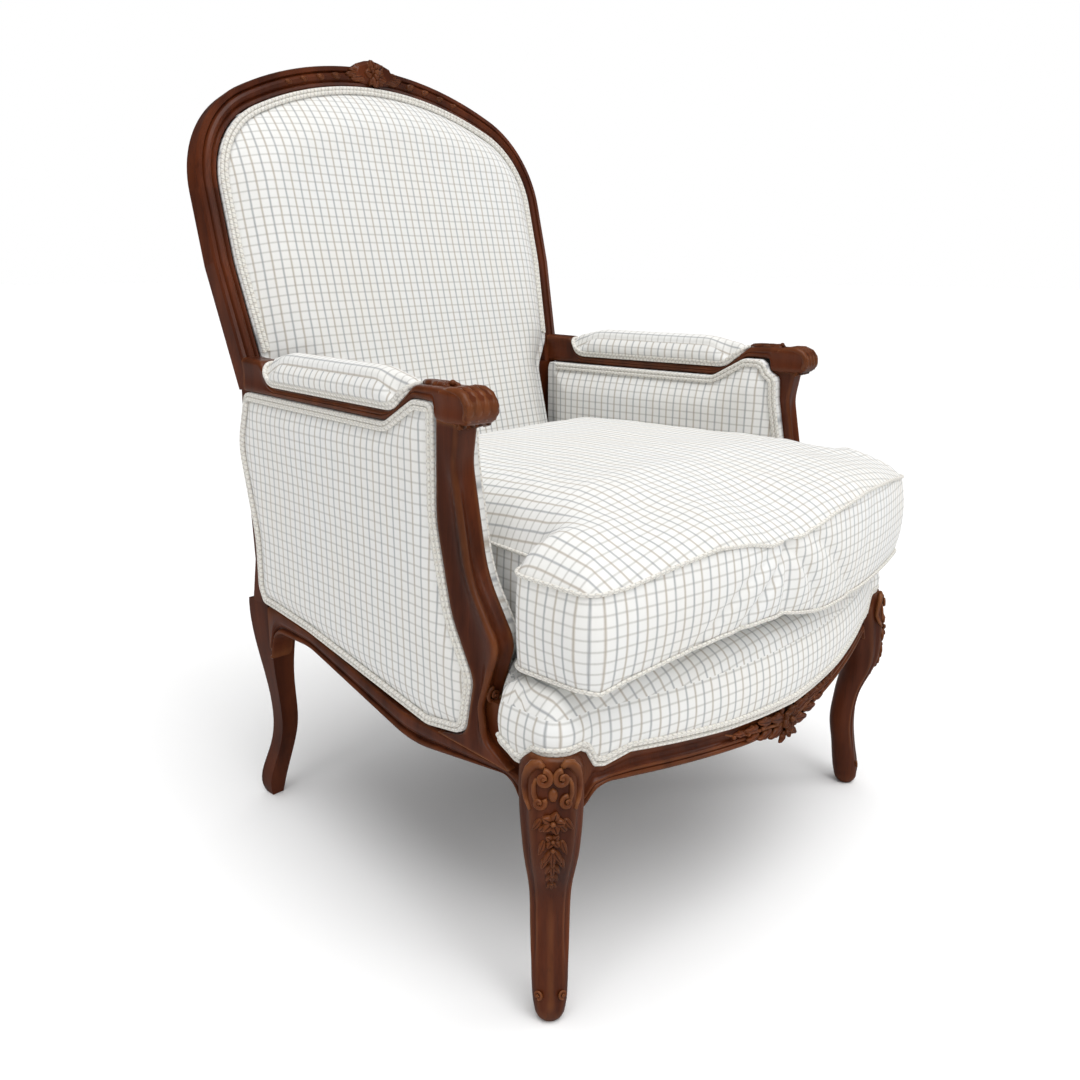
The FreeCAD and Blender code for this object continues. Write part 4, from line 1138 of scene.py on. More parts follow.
@dataclass
class StuffedForm:
    """A boxed cushion or pad: a border between two seams with a crowned top.

    Args:
        name: the piece's name.
        plane: its level plane, with heights up.
        outline: its plan, in millimetres.
        hub: two points of the line that its rings shrink to.
        low: height of the lower edge all round.
        high: height of the upper seam all round.
        bulge: how far the border swells between the seams.
        crown: height of the top above the seam, from points and their distance to the edge.
        belly: the same for the underside; flat if left out.
        crease: moves the border's points outward, from the outline and their share of the height.
        border_rows: number of rows of the border.
        rows: number of rings from a seam to the hub.
        pull: size of the small unevenness of the stuffing.
        even_edge: how far from a seam the unevenness reaches its full size.
    """

    name: str
    plane: Plane
    outline: np.ndarray
    hub: Hub
    low: np.ndarray
    high: np.ndarray
    bulge: np.ndarray | float
    crown: Callable[[np.ndarray, np.ndarray], np.ndarray]
    belly: Callable[[np.ndarray, np.ndarray], np.ndarray] | None = None
    crease: Callable[[np.ndarray, float], np.ndarray] | None = None
    border_rows: int = 16
    rows: int = 38
    pull: float = 1.0
    even_edge: float = 40.0

    def _panel(
        self, shape: Shape, seam: list[int], level: np.ndarray, swell: Callable | None, sign: float
    ) -> None:
        """Closes the form above or below a seam.

        Args:
            shape: the mesh in the making.
            seam: numbers of the seam's points.
            level: heights of the seam's points.
            swell: height over the seam, from points and their distance to the edge; flat if left out.
            sign: 1 above and -1 below.
        """
        core = hub_points(self.outline, self.hub)
        centre_level = float(np.mean(level))
        rings = [[shape.points[i] for i in seam]]
        rows = self.rows if swell else 3
        for row in range(1, rows + 1):
            t = ring_share(row, rows)
            flat = self.outline * (1 - t) + core * t
            gap = edge_distance(flat, self.outline)
            tall = level * (1 - smooth(t * 1.4)) + centre_level * smooth(t * 1.4)
            if swell:
                tall = tall + sign * swell(flat, gap)
            rings.append([
                CUSHION_WAVES.moved(spot, self.plane.out, self.pull, min(1.0, g / self.even_edge))
                for spot, g in zip(self.plane.ring(flat, tall), gap)
            ])
        shape.drape(seam, rings[1:], laid_flat(rings, core, self.outline))

    def border(self, share: float) -> tuple[np.ndarray, np.ndarray]:
        """Plan and heights of the border at a share of its height, 0 below and 1 above."""
        away = outward(self.outline)
        flat = self.outline + away * (np.asarray(self.bulge) * 4 * share * (1 - share))[..., None]
        if self.crease is not None:
            flat = flat + away * self.crease(self.outline, share)[:, None]
        return flat, self.low * (1 - share) + self.high * share

    def build(self, material: Material) -> bpy.types.Object:
        """Makes the form's closed mesh."""
        shape = Shape()
        travel = travelled(np.vstack([self.outline, self.outline[:1]]))
        previous: list[int] = []
        weave: list[Spot] = []
        first: list[int] = []
        for row in range(self.border_rows + 1):
            flat, tall = self.border(row / self.border_rows)
            ring = shape.ring(self.plane.ring(flat, tall))
            rows = np.append(tall, tall[0])
            laid = [(a, b) for a, b in zip(travel, rows)]
            if row:
                shape.bridge(previous, ring, weave, laid)
            else:
                first = ring
            previous, weave = ring, laid
        self._panel(shape, previous, self.high, self.crown, 1.0)
        self._panel(shape, first, self.low, self.belly, -1.0)
        return shape.build(self.name, material)

    def seam(self, share: float, outside: float, lift: float = 0.0) -> list[Vector]:
        """The line of a seam, a little outside the border."""
        flat, tall = self.border(share)
        return self.plane.ring(flat + outward(self.outline) * outside, tall + lift)


# Studio


@dataclass
class Studio:
    """The photograph's camera, a pale floor and soft lights.

    Args:
        eye: the camera's place in metres.
        yaw: its heading from +Y towards +X, in degrees.
        pitch: how far it looks down, in degrees.
        roll: its tilt, in degrees.
        lens: focal length for a 36 mm sensor.
        sky_low: strength of the room's light at the horizon.
        sky_above: its strength overhead.
        sun: strength of the broad light from overhead.
        floor_gloss: how pale the floor looks in the polish of the wood.
        sky_gloss: the share of the sky that polished wood reflects.
        target: what the lamps point at.
        floor_reach: half the floor's side, in metres.
        LAMPS: name, place, size and power of each lamp.
    """

    eye: Corner = (-0.970, -0.8635, 0.751)
    yaw: float = 47.418
    pitch: float = 15.735
    roll: float = 0.237
    lens: float = 33.15
    sky_low: float = 0.16
    sky_above: float = 0.86
    sun: float = 1.60
    floor_gloss: float = 0.28
    sky_gloss: float = 0.16
    target: Corner = (0.0, 0.0, 0.45)
    floor_reach: float = 30.0
    LAMPS: tuple[tuple[str, Corner, float, float], ...] = (
        ("key", (-0.5, -2.7, 2.3), 1.3, 14.0),
        ("window", (-2.9, -0.4, 1.9), 0.9, 5.0),
        ("strip", (1.9, -1.9, 1.5), 0.7, 6.0),
    )

    def camera(self) -> None:
        """Sets up the camera."""
        yaw, pitch, roll = (math.radians(a) for a in (self.yaw, self.pitch, self.roll))
        ahead = Vector((math.sin(yaw) * math.cos(pitch), math.cos(yaw) * math.cos(pitch), -math.sin(pitch)))
        right = Vector((math.cos(yaw), -math.sin(yaw), 0))
        up = right.cross(ahead)
        turned = right * math.cos(roll) + up * math.sin(roll)
        upright = up * math.cos(roll) - right * math.sin(roll)
        data = bpy.data.cameras.new("camera")
        data.lens, data.sensor_width = self.lens, 36.0
        data.clip_start, data.clip_end = 0.02, 200.0
        camera = linked("camera", data)
        frame = Matrix((turned, upright, -ahead)).transposed().to_4x4()
        frame.translation = Vector(self.eye)
        camera.matrix_world = frame
        bpy.context.scene.camera = camera

    def lights(self) -> None:
        """Adds the broad light from overhead and the soft lamps round the chair."""
        data = bpy.data.lights.new("overhead", "SUN")
        data.energy, data.angle = self.sun, math.radians(48)
        linked("overhead", data).rotation_euler = (math.radians(17), math.radians(-7), 0)
        for name, spot, size, power in self.LAMPS:
            data = bpy.data.lights.new(name, "AREA")
            data.shape, data.size, data.energy = "DISK", size, power
            lamp = linked(name, data)
            lamp.location = spot
            lamp.rotation_euler = (Vector(self.target) - Vector(spot)).to_track_quat("-Z", "Y").to_euler()

    def floor(self) -> None:
        """Lays the pale floor."""
        g = Graph.material("studio_floor")
        tone = g.mix(g.noise(g.object_place(), 0.8, 2.0), (0.95, 0.95, 0.95, 1), (0.97, 0.97, 0.97, 1))
        mirrored = g.wire(g.node("LightPath"), "Is Glossy Ray")
        tone = g.mix(mirrored, tone, (self.floor_gloss,) * 3 + (1,))
        material = g.surface({"Base Color": tone, "Roughness": 0.9, "Specular IOR Level": 0.1})
        mesh = bpy.data.meshes.new("floor")
        reach = self.floor_reach
        corners = [(-reach, -reach, 0), (reach, -reach, 0), (reach, reach, 0), (-reach, reach, 0)]
        mesh.from_pydata(corners, [], [(0, 1, 2, 3)])
        mesh.materials.append(material)
        floor = linked("floor", mesh)
        floor.location.z = -0.0004

    def sky(self) -> None:
        """Fills the room with light that is stronger from above, white where the camera sees it."""
        world = bpy.data.worlds.new("studio")
        bpy.context.scene.world = world
        g = Graph(world)
        path = g.node("LightPath")
        seen = g.wire(path, "Is Camera Ray").most(g.wire(path, "Is Transmission Ray"))
        direction = g.node("SeparateXYZ", {0: g.wire(g.node("TexCoord"), "Generated")})
        height = g.wire(direction, "Z").between(0.0, 0.9)
        shine = 1 - g.wire(path, "Is Glossy Ray") * (1 - self.sky_gloss)
        glow = (height * (self.sky_above - self.sky_low) + self.sky_low) * shine
        soft, plain = (
            g.wire(g.node("Background", {"Color": (1.0, 1.0, 1.0, 1), "Strength": power})) for power in (glow, 1.0)
        )
        g.node("OutputWorld", {0: g.wire(g.node("MixShader", {0: seen, 1: soft, 2: plain}))})

    def build(self) -> None:
        """Sets up the whole studio."""
        self.camera()
        self.floor()
        self.sky()
        self.lights()
        bpy.context.scene.view_settings.view_transform = "Standard"


# Wood working


def eased(rows: Sequence[Sequence[float]], where: float) -> np.ndarray:
    """Values read from rows along a smooth curve.

    Args:
        rows: each with its place first and then its values, in rising order.
        where: the place to read.

    Returns:
        The values there.
    """
    table = np.array(rows, float)
    x, y = table[:, 0], table[:, 1:]
    slope = np.gradient(y, x, axis=0)
    k = int(np.clip(np.searchsorted(x, where) - 1, 0, len(x) - 2))
    span = x[k + 1] - x[k]
    t = float(np.clip((where - x[k]) / span, 0, 1))
    ends = (2 * t**3 - 3 * t**2 + 1) * y[k] + (3 * t**2 - 2 * t**3) * y[k + 1]
    return ends + span * ((t**3 - 2 * t**2 + t) * slope[k] + (t**3 - t**2) * slope[k + 1])


def read_line(corners: Sequence[Corner], where: float) -> float:
    """The second coordinate of an open rounded line at a place along it."""
    line = rounded(corners, 3.0, closed=False)
    order = np.argsort(line[:, 0])
    return float(np.interp(where, line[order, 0], line[order, 1]))


def worked_section(
    box: Sequence[Spot], corner: float, hollows: Sequence[float], steps: int = 10
) -> list[Spot]:
    """A four-sided section with rounded corners and hollowed faces.

    Args:
        box: the four corners in order.
        corner: how far the rounding reaches from each corner.
        hollows: depth of the hollow in each face, from its corner to the next.
        steps: points along each face.

    Returns:
        The section's points.
    """
    spots = np.array(box, float)
    centre = spots.mean(axis=0)
    made: list[Spot] = []
    for k in range(4):
        here, after, before = spots[k], spots[(k + 1) % 4], spots[k - 1]
        toward = (before - here) / max(np.linalg.norm(before - here), 1e-6)
        away = (after - here) / max(np.linalg.norm(after - here), 1e-6)
        reach = min(corner, 0.45 * np.linalg.norm(after - here), 0.45 * np.linalg.norm(before - here))
        for t in np.linspace(0, 1, 6):
            bend = here + toward * reach * (1 - t) ** 2 + away * reach * t**2
            made.append(tuple(bend))
        normal = np.array([-away[1], away[0]])
        if normal @ (centre - here) < 0:
            normal = -normal
        reach_after = min(corner, 0.45 * np.linalg.norm(after - here))
        first, last = here + away * reach, after - away * reach_after
        for t in np.linspace(0, 1, steps + 2)[1:-1]:
            made.append(tuple(first + (last - first) * t + normal * hollows[k] * math.sin(math.pi * t) ** 1.4))
    return made


@dataclass
class Carver:
    """Cuts leaves, scrolls, volutes and beads into one carved piece."""

    shape: Shape = field(default_factory=Shape)

    def leaf(
        self, plane: Plane, length: float, width: float, thick: float, *,
        bend: float = 0.0, lift: float = 0.0, lobes: float = 0.0,
    ) -> None:
        """A leaf or petal that grows along the plane's first direction.

        Args:
            plane: its root, direction and outward side.
            length: from root to tip.
            width: across its widest place.
            thick: how far it stands out.
            bend: how far the tip turns to the side.
            lift: how far the tip curls out.
            lobes: number of notches along its edge.
        """
        rings = []
        for t in np.linspace(0.02, 0.985, 22):
            edge = 1 + 0.16 * math.sin(lobes * math.tau * t) if lobes else 1.0
            half = width / 2 * math.sin(math.pi * t**0.72) ** 0.75 * edge
            tall = thick * (0.35 + 0.65 * math.sin(math.pi * t) ** 0.7) * min(1.0, (1 - t) * 9) * min(1.0, t * 14)
            base, aside = lift * t * t, bend * t * t
            ring = [plane.at(length * t, aside + s * half, base - 1.2) for s in (0.9, 0.0, -0.9)]
            for s in np.linspace(-1, 1, 13):
                crease = 0.42 * math.exp(-((s / 0.16) ** 2)) + 0.13 * math.cos(s * math.pi * 5) * (1 - abs(s))
                dome = (1 - s * s) ** 0.55
                ring.append(plane.at(length * t, aside + s * half, base + tall * dome * (1 - crease)))
            rings.append(ring)
        self.shape.loft(rings)

    def scroll(self, places: Sequence[Vector], radii: Sequence[float], out: Vector, flat: float = 0.8) -> None:
        """A rounded strand along places, as wide as its radii and flattened outward."""
        rings = []
        for i, (spot, radius) in enumerate(zip(places, radii)):
            ahead = places[min(i + 1, len(places) - 1)] - places[max(i - 1, 0)]
            side = ahead.cross(out).normalized()
            high = side.cross(ahead).normalized()
            rings.append(oval(spot, side, high, radius, flat))
        self.shape.loft(rings)

    def volute(
        self, plane: Plane, radius: float, turns: float, start: float, hand: int, thick: float, tail: float = 0.0
    ) -> None:
        """A spiral scroll round an eye.

        Args:
            plane: its centre and outward side.
            radius: radius of its outer turn.
            turns: number of turns.
            start: angle where the outer end begins.
            hand: 1 to wind one way and -1 the other.
            thick: the strand's radius.
            tail: how far the outer end runs on, straight.
        """
        places, radii = [], []
        steps = int(26 * turns)
        first = plane.at(radius * math.cos(start), radius * math.sin(start), thick * 0.3)
        if tail:
            course = Vector((math.sin(start), -math.cos(start))) * hand
            for k in range(6):
                gap = tail * (1 - k / 6)
                places.append(first + plane.across * course.x * gap + plane.up * course.y * gap)
                radii.append(thick * (0.35 + 0.65 * k / 6))
        for k in range(steps + 1):
            t = k / steps
            reach = radius * (1 - t) ** 0.9 + radius * 0.20 * t
            angle = start + hand * math.tau * turns * t
            places.append(plane.at(reach * math.cos(angle), reach * math.sin(angle), thick * (0.3 + 0.9 * t)))
            radii.append(thick * (1 - 0.45 * t))
        self.scroll(places, radii, plane.out)
        self.bead(plane.at(0, 0, thick * 0.8), radius * 0.30, plane.out)

    def bead(
        self, centre: Vector, radius: float, out: Vector, stretch: float = 1.0, along: Vector | None = None
    ) -> None:
        """A round bead, or one stretched along a direction."""
        axis = (along or out.orthogonal()).normalized()
        side = axis.cross(out).normalized()
        high = side.cross(axis).normalized()
        rings = []
        for t in np.linspace(0.03, 0.97, 11):
            spot = centre - axis * (radius * stretch * math.cos(math.pi * t))
            rings.append(oval(spot, side, high, radius * math.sin(math.pi * t), count=14))
        self.shape.loft(rings)

    def flower(self, plane: Plane, reach: float, petals: int, thick: float) -> None:
        """A rosette of petals round a beaded eye."""
        for k in range(petals):
            petal = plane.spun(math.tau * k / petals + 0.35)
            petal = replace(petal, origin=plane.origin + petal.across * reach * 0.12)
            self.leaf(petal, reach, reach * 0.92, thick, lift=thick * 0.5)
        self.bead(plane.at(0, 0, thick * 0.9), reach * 0.24, plane.out)

    def husk(self, plane: Plane, length: float, width: float) -> None:
        """A bell husk: three narrow leaves from one root."""
        for lean in (-0.55, 0.0, 0.55):
            self.leaf(plane.spun(lean), length * (1 - abs(lean) * 0.3), width * 0.62, width * 0.34, lift=1.0)

    def finish(self, name: str, material: Material) -> None:
        """Makes and places the carved piece."""
        place(self.shape.build(name, material), Slot.SHOW_WOOD)


def oval(
    centre: Vector, side: Vector, high: Vector, radius: float, flat: float = 1.0, count: int = 12
) -> list[Vector]:
    """Points round a centre, flattened the high way."""
    turns = np.linspace(0, math.tau, count + 1)[:-1]
    return [centre + side * (radius * math.cos(a)) + high * (radius * flat * math.sin(a)) for a in turns]


def show_wood(
    node: str, ending: str, rings: Sequence[Sequence[Vector]], material: Material, shade_angle: float
) -> None:
    """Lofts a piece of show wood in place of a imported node.

    Args:
        node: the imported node.
        ending: what the piece's name has after the node's.
        rings: its closed sections, one after the other.
        material: its finish.
        shade_angle: edges sharper than this many degrees stay sharp.
    """
    shape = Shape()
    shape.loft(rings)
    place(shape.build(f"{node}_{ending}", material, shade_angle), Slot.SHOW_WOOD, CHAIR, (node,))


@dataclass
class FrontLegs:
    """The carved cabriole legs at the front.

    Rows hold a share of the height, then how far the leg reaches outward, inward and to its widest place along
    the diagonal, and half its width.
    """

    finishes: Finishes
    height: float = 303.0
    foot: Spot = (333.0, -294.5)
    ROWS: tuple[tuple[float, float, float, float, float], ...] = (
        (0.0, 7, -13, -3, 10), (0.012, 10, -16, -3, 13), (0.06, 13, -21, -3, 17), (0.12, 10, -24, -6, 18.5),
        (0.2, 5, -27, -10, 19), (0.34, 0, -33, -15, 19.5), (0.48, 4, -29, -11, 20.5), (0.66, 26, -21, 1, 27),
        (0.80, 31, -35, -6, 30.5), (0.90, 28, -42, -11, 31), (0.955, 26, -45, -13, 29.5), (0.985, 24, -46, -14, 25),
        (1.0, 22, -44, -14, 21),
    )

    def plane(self, side: Side) -> Plane:
        """Across the leg, up, and outward along its diagonal."""
        x, y = self.foot
        out = Vector((side.value, -1, 0)).normalized()
        across = Vector((0, 0, 1)).cross(out)
        return Plane(Vector((side.value * x, y, 0)), across, Vector((0, 0, 1)), out)

    def section(self, share: float) -> list[Spot]:
        """Across and outward of the ring at a share of the height, from the front edge round."""
        outer, inner, middle, half = eased(self.ROWS, share)
        z = share * self.height
        ring = []
        edge = 2.0 * float(smooth((z - 40) / 60.0)) * float(smooth((300 - z) / 20.0))
        ridge = 2.4 * float(smooth((z - 8) / 18.0)) * float(smooth((175 - z) / 80.0))
        knee = float(smooth((z - 200) / 40.0))
        for angle in np.linspace(0, math.tau, 73)[:-1]:
            turn = (angle + math.pi) % math.tau - math.pi
            c, s = math.cos(turn), math.sin(turn)
            power = 0.90 if c > 0 else 1.0
            across = half * math.copysign(abs(s) ** power, s)
            reach = (outer - middle if c > 0 else middle - inner) * math.copysign(abs(c) ** power, c)
            relief = -edge * 1.15 * math.exp(-(((abs(turn) - 1.02) / 0.17) ** 2))
            relief += edge * 0.55 * math.exp(-(((abs(turn) - 1.34) / 0.14) ** 2))
            relief += ridge * math.exp(-((turn / 0.20) ** 2))
            relief -= ridge * 0.5 * math.exp(-(((abs(turn) - 0.5) / 0.2) ** 2))
            relief -= knee * 3.4 * math.exp(-((turn / 0.66) ** 4))
            ring.append((across + relief * s, middle + reach + relief * c))
        return ring

    def surface(self, side: Side, z: float, across: float) -> Plane:
        """A plane on the leg's outer face at a height, its first direction down the leg."""
        plane = self.plane(side)

        def spot(level: float, a: float) -> Vector:
            """The outer face's point there."""
            share = level / self.height
            ring = sorted(p for p in self.section(share) if p[1] > eased(self.ROWS, share)[2])
            return plane.at(a, level, float(np.interp(a, [p[0] for p in ring], [p[1] for p in ring])))

        here = spot(z, across)
        down = (spot(max(z - 3, 0), across) - spot(min(z + 3, self.height), across)).normalized()
        beside = (spot(z, across + 2) - spot(z, across - 2)).normalized()
        out = down.cross(beside).normalized()
        if out.dot(plane.out) < 0:
            out = -out
        return Plane(here, down, out.cross(down).normalized(), out)

    def carve(self, side: Side) -> None:
        """The cartouche on the knee, with its scrolls, flower and husks, and the volutes at the toe."""
        wood = self.finishes.wood[Grain.UPRIGHT]
        tool = Carver()
        for hand in (-1, 1):
            spot = self.surface(side, 286, hand * 8.2)
            tool.volute(spot.turned(height=1.0), 7.6, 1.25, math.radians(180), hand, 3.3)
            shoulder = [self.surface(side, z, hand * a).at(0, 0, 1.0) for z, a in
                        ((296, 8), (298.5, 12), (297, 17), (291, 21.5), (282, 24), (272, 25), (262, 24), (253, 21))]
            tool.scroll(shoulder, [2.4, 4.4, 5.2, 5.0, 4.4, 3.8, 3.0, 1.6], spot.out, 0.75)
            inner = [self.surface(side, z, hand * a).at(0, 0, 0.8) for z, a in
                     ((285, 15.5), (278, 17.5), (270, 17.5), (262, 15), (257, 11.5))]
            tool.scroll(inner, [1.4, 2.3, 2.6, 2.6, 1.8], spot.out, 0.8)
            lower = self.surface(side, 262, hand * 12.5)
            tool.volute(lower.turned(20 * hand, height=0.6), 6.0, 1.15, math.radians(150), hand, 2.7)
            for z, a, angle, length in (
                (246, 11, 28, 15), (232, 12.5, -150, 12), (224, 8, 12, 17), (205, 6.5, 10, 14),
            ):
                root = self.surface(side, z, hand * a)
                tool.leaf(root.turned(angle * hand), length, 7.0, 3.0, bend=hand * 2.0, lift=1.2)
        cavity = self.surface(side, 270, 0)
        tool.bead(cavity.at(0, 0, 0.2), 4.6, cavity.out, 1.5, cavity.across)
        tool.flower(self.surface(side, 243, 0).turned(height=0.8), 11.0, 5, 4.2)
        tool.flower(self.surface(side, 224, 0).turned(30, height=0.6), 8.0, 4, 3.4)
        for z, size in ((214, 20), (197, 17), (182, 14), (168, 11)):
            tool.husk(self.surface(side, z, 0), size, size * 0.62)
            tool.bead(self.surface(side, z, 0).at(0, 0, 2.2), size * 0.13, cavity.out)
        for hand in (-1, 1):
            toe = self.surface(side, 33, hand * 12.5)
            tool.volute(toe.turned(height=0.2), 4.6, 1.2, 0.0, -hand, 1.7)
        tool.finish(f"front_leg_{side.word}_carving", wood)

    def build(self) -> None:
        """Makes both legs."""
        shares = [0.0, 0.006, 0.015, 0.03, *np.linspace(0.05, 0.94, 74), 0.95, 0.96, 0.97, 0.98, 0.99, 1.0]
        for side in Side:
            plane = self.plane(side)
            rings = [[plane.at(a, share * self.height, o) for a, o in self.section(share)] for share in shares]
            show_wood(f"front_leg_{side.word}", "turned", rings, self.finishes.wood[Grain.UPRIGHT], 70)
            self.carve(side)


@dataclass
class SideRails:
    """The shaped rails under the side panels, with a bead along the lower edge."""

    finishes: Finishes
    LOWER: Line = (
        (-275, 233, 0), (-262, 240, 6), (-249, 262, 22), (-80, 232, 160), (140, 281, 120), (230, 276, 30),
        (243, 232, 0),
    )
    LEDGE: Line = (
        (-275, 265.5, 0), (-118, 265, 60), (-60, 264, 160), (140, 302, 120), (215, 308, 60), (280, 304, 0),
    )

    @staticmethod
    def section(low: float, ledge: float) -> list[Spot]:
        """Depth and height round the rail where its edges are that high."""
        fit = min(1.0, max(0.15, (ledge - low) / 30.0))
        bead = [(3.4 - 3.4 * math.cos(a), low + 3.4 + 3.4 * math.sin(a)) for a in np.linspace(-1.5, 1.5, 7)]
        cove = [(4.6, low + 7.6), (4.8, low + 9.0), (3.2, low + 11.0), (1.6, low + 12.6), (1.9, low + 14.0)]
        swell = [(0.4, low + 16.5), (0.0, low + 19.0), (0.0, low + 22.0), (0.5, low + 25.0)]
        front = [(d * fit, low + (h - low) * fit) for d, h in (*bead, *cove, *swell)]
        top = [(0.9, ledge - 1.6), (2.2, ledge - 0.3), (3.5, ledge), (10, ledge)]
        top += [(depth, SEAT_TOP) for depth in (10, 12, 30)]
        return [*front, *top, (30, low + 3), (26, low)]

    def build(self) -> None:
        """Makes both rails."""
        stations = np.linspace(-266, 246, 150)
        edges = [(a, read_line(self.LOWER, a), read_line(self.LEDGE, a)) for a in stations]
        for side in Side:
            plane = side_plane(side, inward=True)
            rings = [[plane.at(a, h, d) for d, h in self.section(low, ledge)] for a, low, ledge in edges]
            show_wood(f"side_seat_rail_{side.word}", "moulded", rings, self.finishes.wood[Grain.DEPTH], 50)


@dataclass
class FrontRail:
    """The bowed front rail, with its double bead, pendant flower and leaves.

    Args:
        finishes: the chair's materials.
        front: the front face's Y in the middle.
        depth: how far the bow falls back at its ends.
        half: half the bow's width.
    """

    finishes: Finishes
    front: float = -362.5
    depth: float = 56.5
    half: float = 329.0
    LOWER: Line = (
        (-333, 232, 0), (-306, 237, 8), (-289, 259, 26), (-70, 234, 300), (-48, 234, 20), (-26, 223, 14),
        (26, 223, 14), (48, 234, 20), (70, 234, 300), (289, 259, 26), (306, 237, 8), (333, 232, 0),
    )
    LEDGE: Line = (
        (-333, 300, 0), (-299, 300, 6), (-288, 277, 5), (-250, 285, 40), (0, 262.5, 900), (250, 285, 40),
        (288, 277, 5), (299, 300, 6), (333, 300, 0),
    )

    def bow(self, x: float) -> float:
        """The front face's Y at a place across."""
        return self.front + self.depth * (x / self.half) ** 2

    @staticmethod
    def section(low: float, ledge: float) -> list[Spot]:
        """Depth and height round the rail where its edges are that high."""
        fit = min(1.0, max(0.15, (ledge - low) / 31.0))
        first = [(3.0 - 3.0 * math.cos(a), low + 3.0 + 3.0 * math.sin(a)) for a in np.linspace(-1.5, 1.4, 7)]
        second = [(3.6 - 2.4 * math.cos(a), low + 8.4 + 2.4 * math.sin(a)) for a in np.linspace(-1.4, 1.4, 6)]
        cove = [(4.4, low + 11.8), (5.4, low + 14.0), (5.6, low + 17.0), (4.6, low + 20.0), (2.6, low + 22.5)]
        front = [(d * fit, low + (h - low) * fit) for d, h in (*first, *second, *cove)]
        top = [(1.2, ledge - 3.4), (1.0, ledge - 1.8), (2.2, ledge - 0.3), (3.4, ledge), (8, ledge)]
        top += [(depth, SEAT_TOP) for depth in (8, 34)]
        return [*front, *top, (34, low + 3), (30, low)]

    def face_plane(self, x: float, z: float) -> Plane:
        """A plane on the rail's face, its first direction towards +X."""
        here = Vector((x, self.bow(x), z))
        way = Vector((1.0, 2 * self.depth * x / self.half**2, 0)).normalized()
        return Plane(here, way, Vector((0, 0, 1)), way.cross(Vector((0, 0, 1))))

    def carve(self) -> None:
        """The pendant flower under the middle and the leaf sprays beside it."""
        tool = Carver()
        middle = self.face_plane(0, 240)
        tool.flower(middle.turned(0, 0, 2, 1.5), 15.0, 6, 5.0)
        tool.flower(middle.turned(25, 0, -12, 2.0), 8.5, 5, 4.0)
        for hand in (-1, 1):
            for x, z, angle, length, width in (
                (10, 246, 10, 34, 15), (12, 236, -14, 32, 13), (38, 252, 8, 30, 12), (36, 240, -10, 30, 11),
                (64, 252, 4, 28, 10), (62, 244, -6, 25, 8), (88, 254, 6, 24, 7.5), (6, 228, -50, 17, 10),
                (14, 254, 40, 14, 9),
            ):
                root = self.face_plane(hand * x, z)
                spray = Plane(root.origin + root.out * 0.5, root.across * hand, root.up, root.out)
                tool.leaf(spray.turned(angle), length, width, 4.2, bend=3.0, lift=1.5, lobes=2.5)
            for x, z in ((30, 246), (58, 249), (84, 251), (110, 256)):
                spot = self.face_plane(hand * x, z)
                tool.bead(spot.at(0, 0, 2.4), 2.6, spot.out)
            stem = [self.face_plane(hand * x, z).at(0, 0, 1.6) for x, z in
                    ((16, 240), (40, 245), (64, 248), (90, 252), (112, 258), (124, 263))]
            tool.scroll(stem, [2.2, 2.0, 1.8, 1.6, 1.3, 0.8], middle.out)
        tool.finish("front_rail_carving", self.finishes.wood[Grain.ACROSS])

    def build(self) -> None:
        """Makes the rail and its carving."""
        rings = []
        for x in np.linspace(-316, 316, 190):
            low, ledge = read_line(self.LOWER, x), read_line(self.LEDGE, x)
            rings.append([Vector((x, self.bow(x) + d, h)) for d, h in self.section(low, ledge)])
        show_wood("front_seat_rail", "moulded", rings, self.finishes.wood[Grain.ACROSS], 50)
        self.carve()


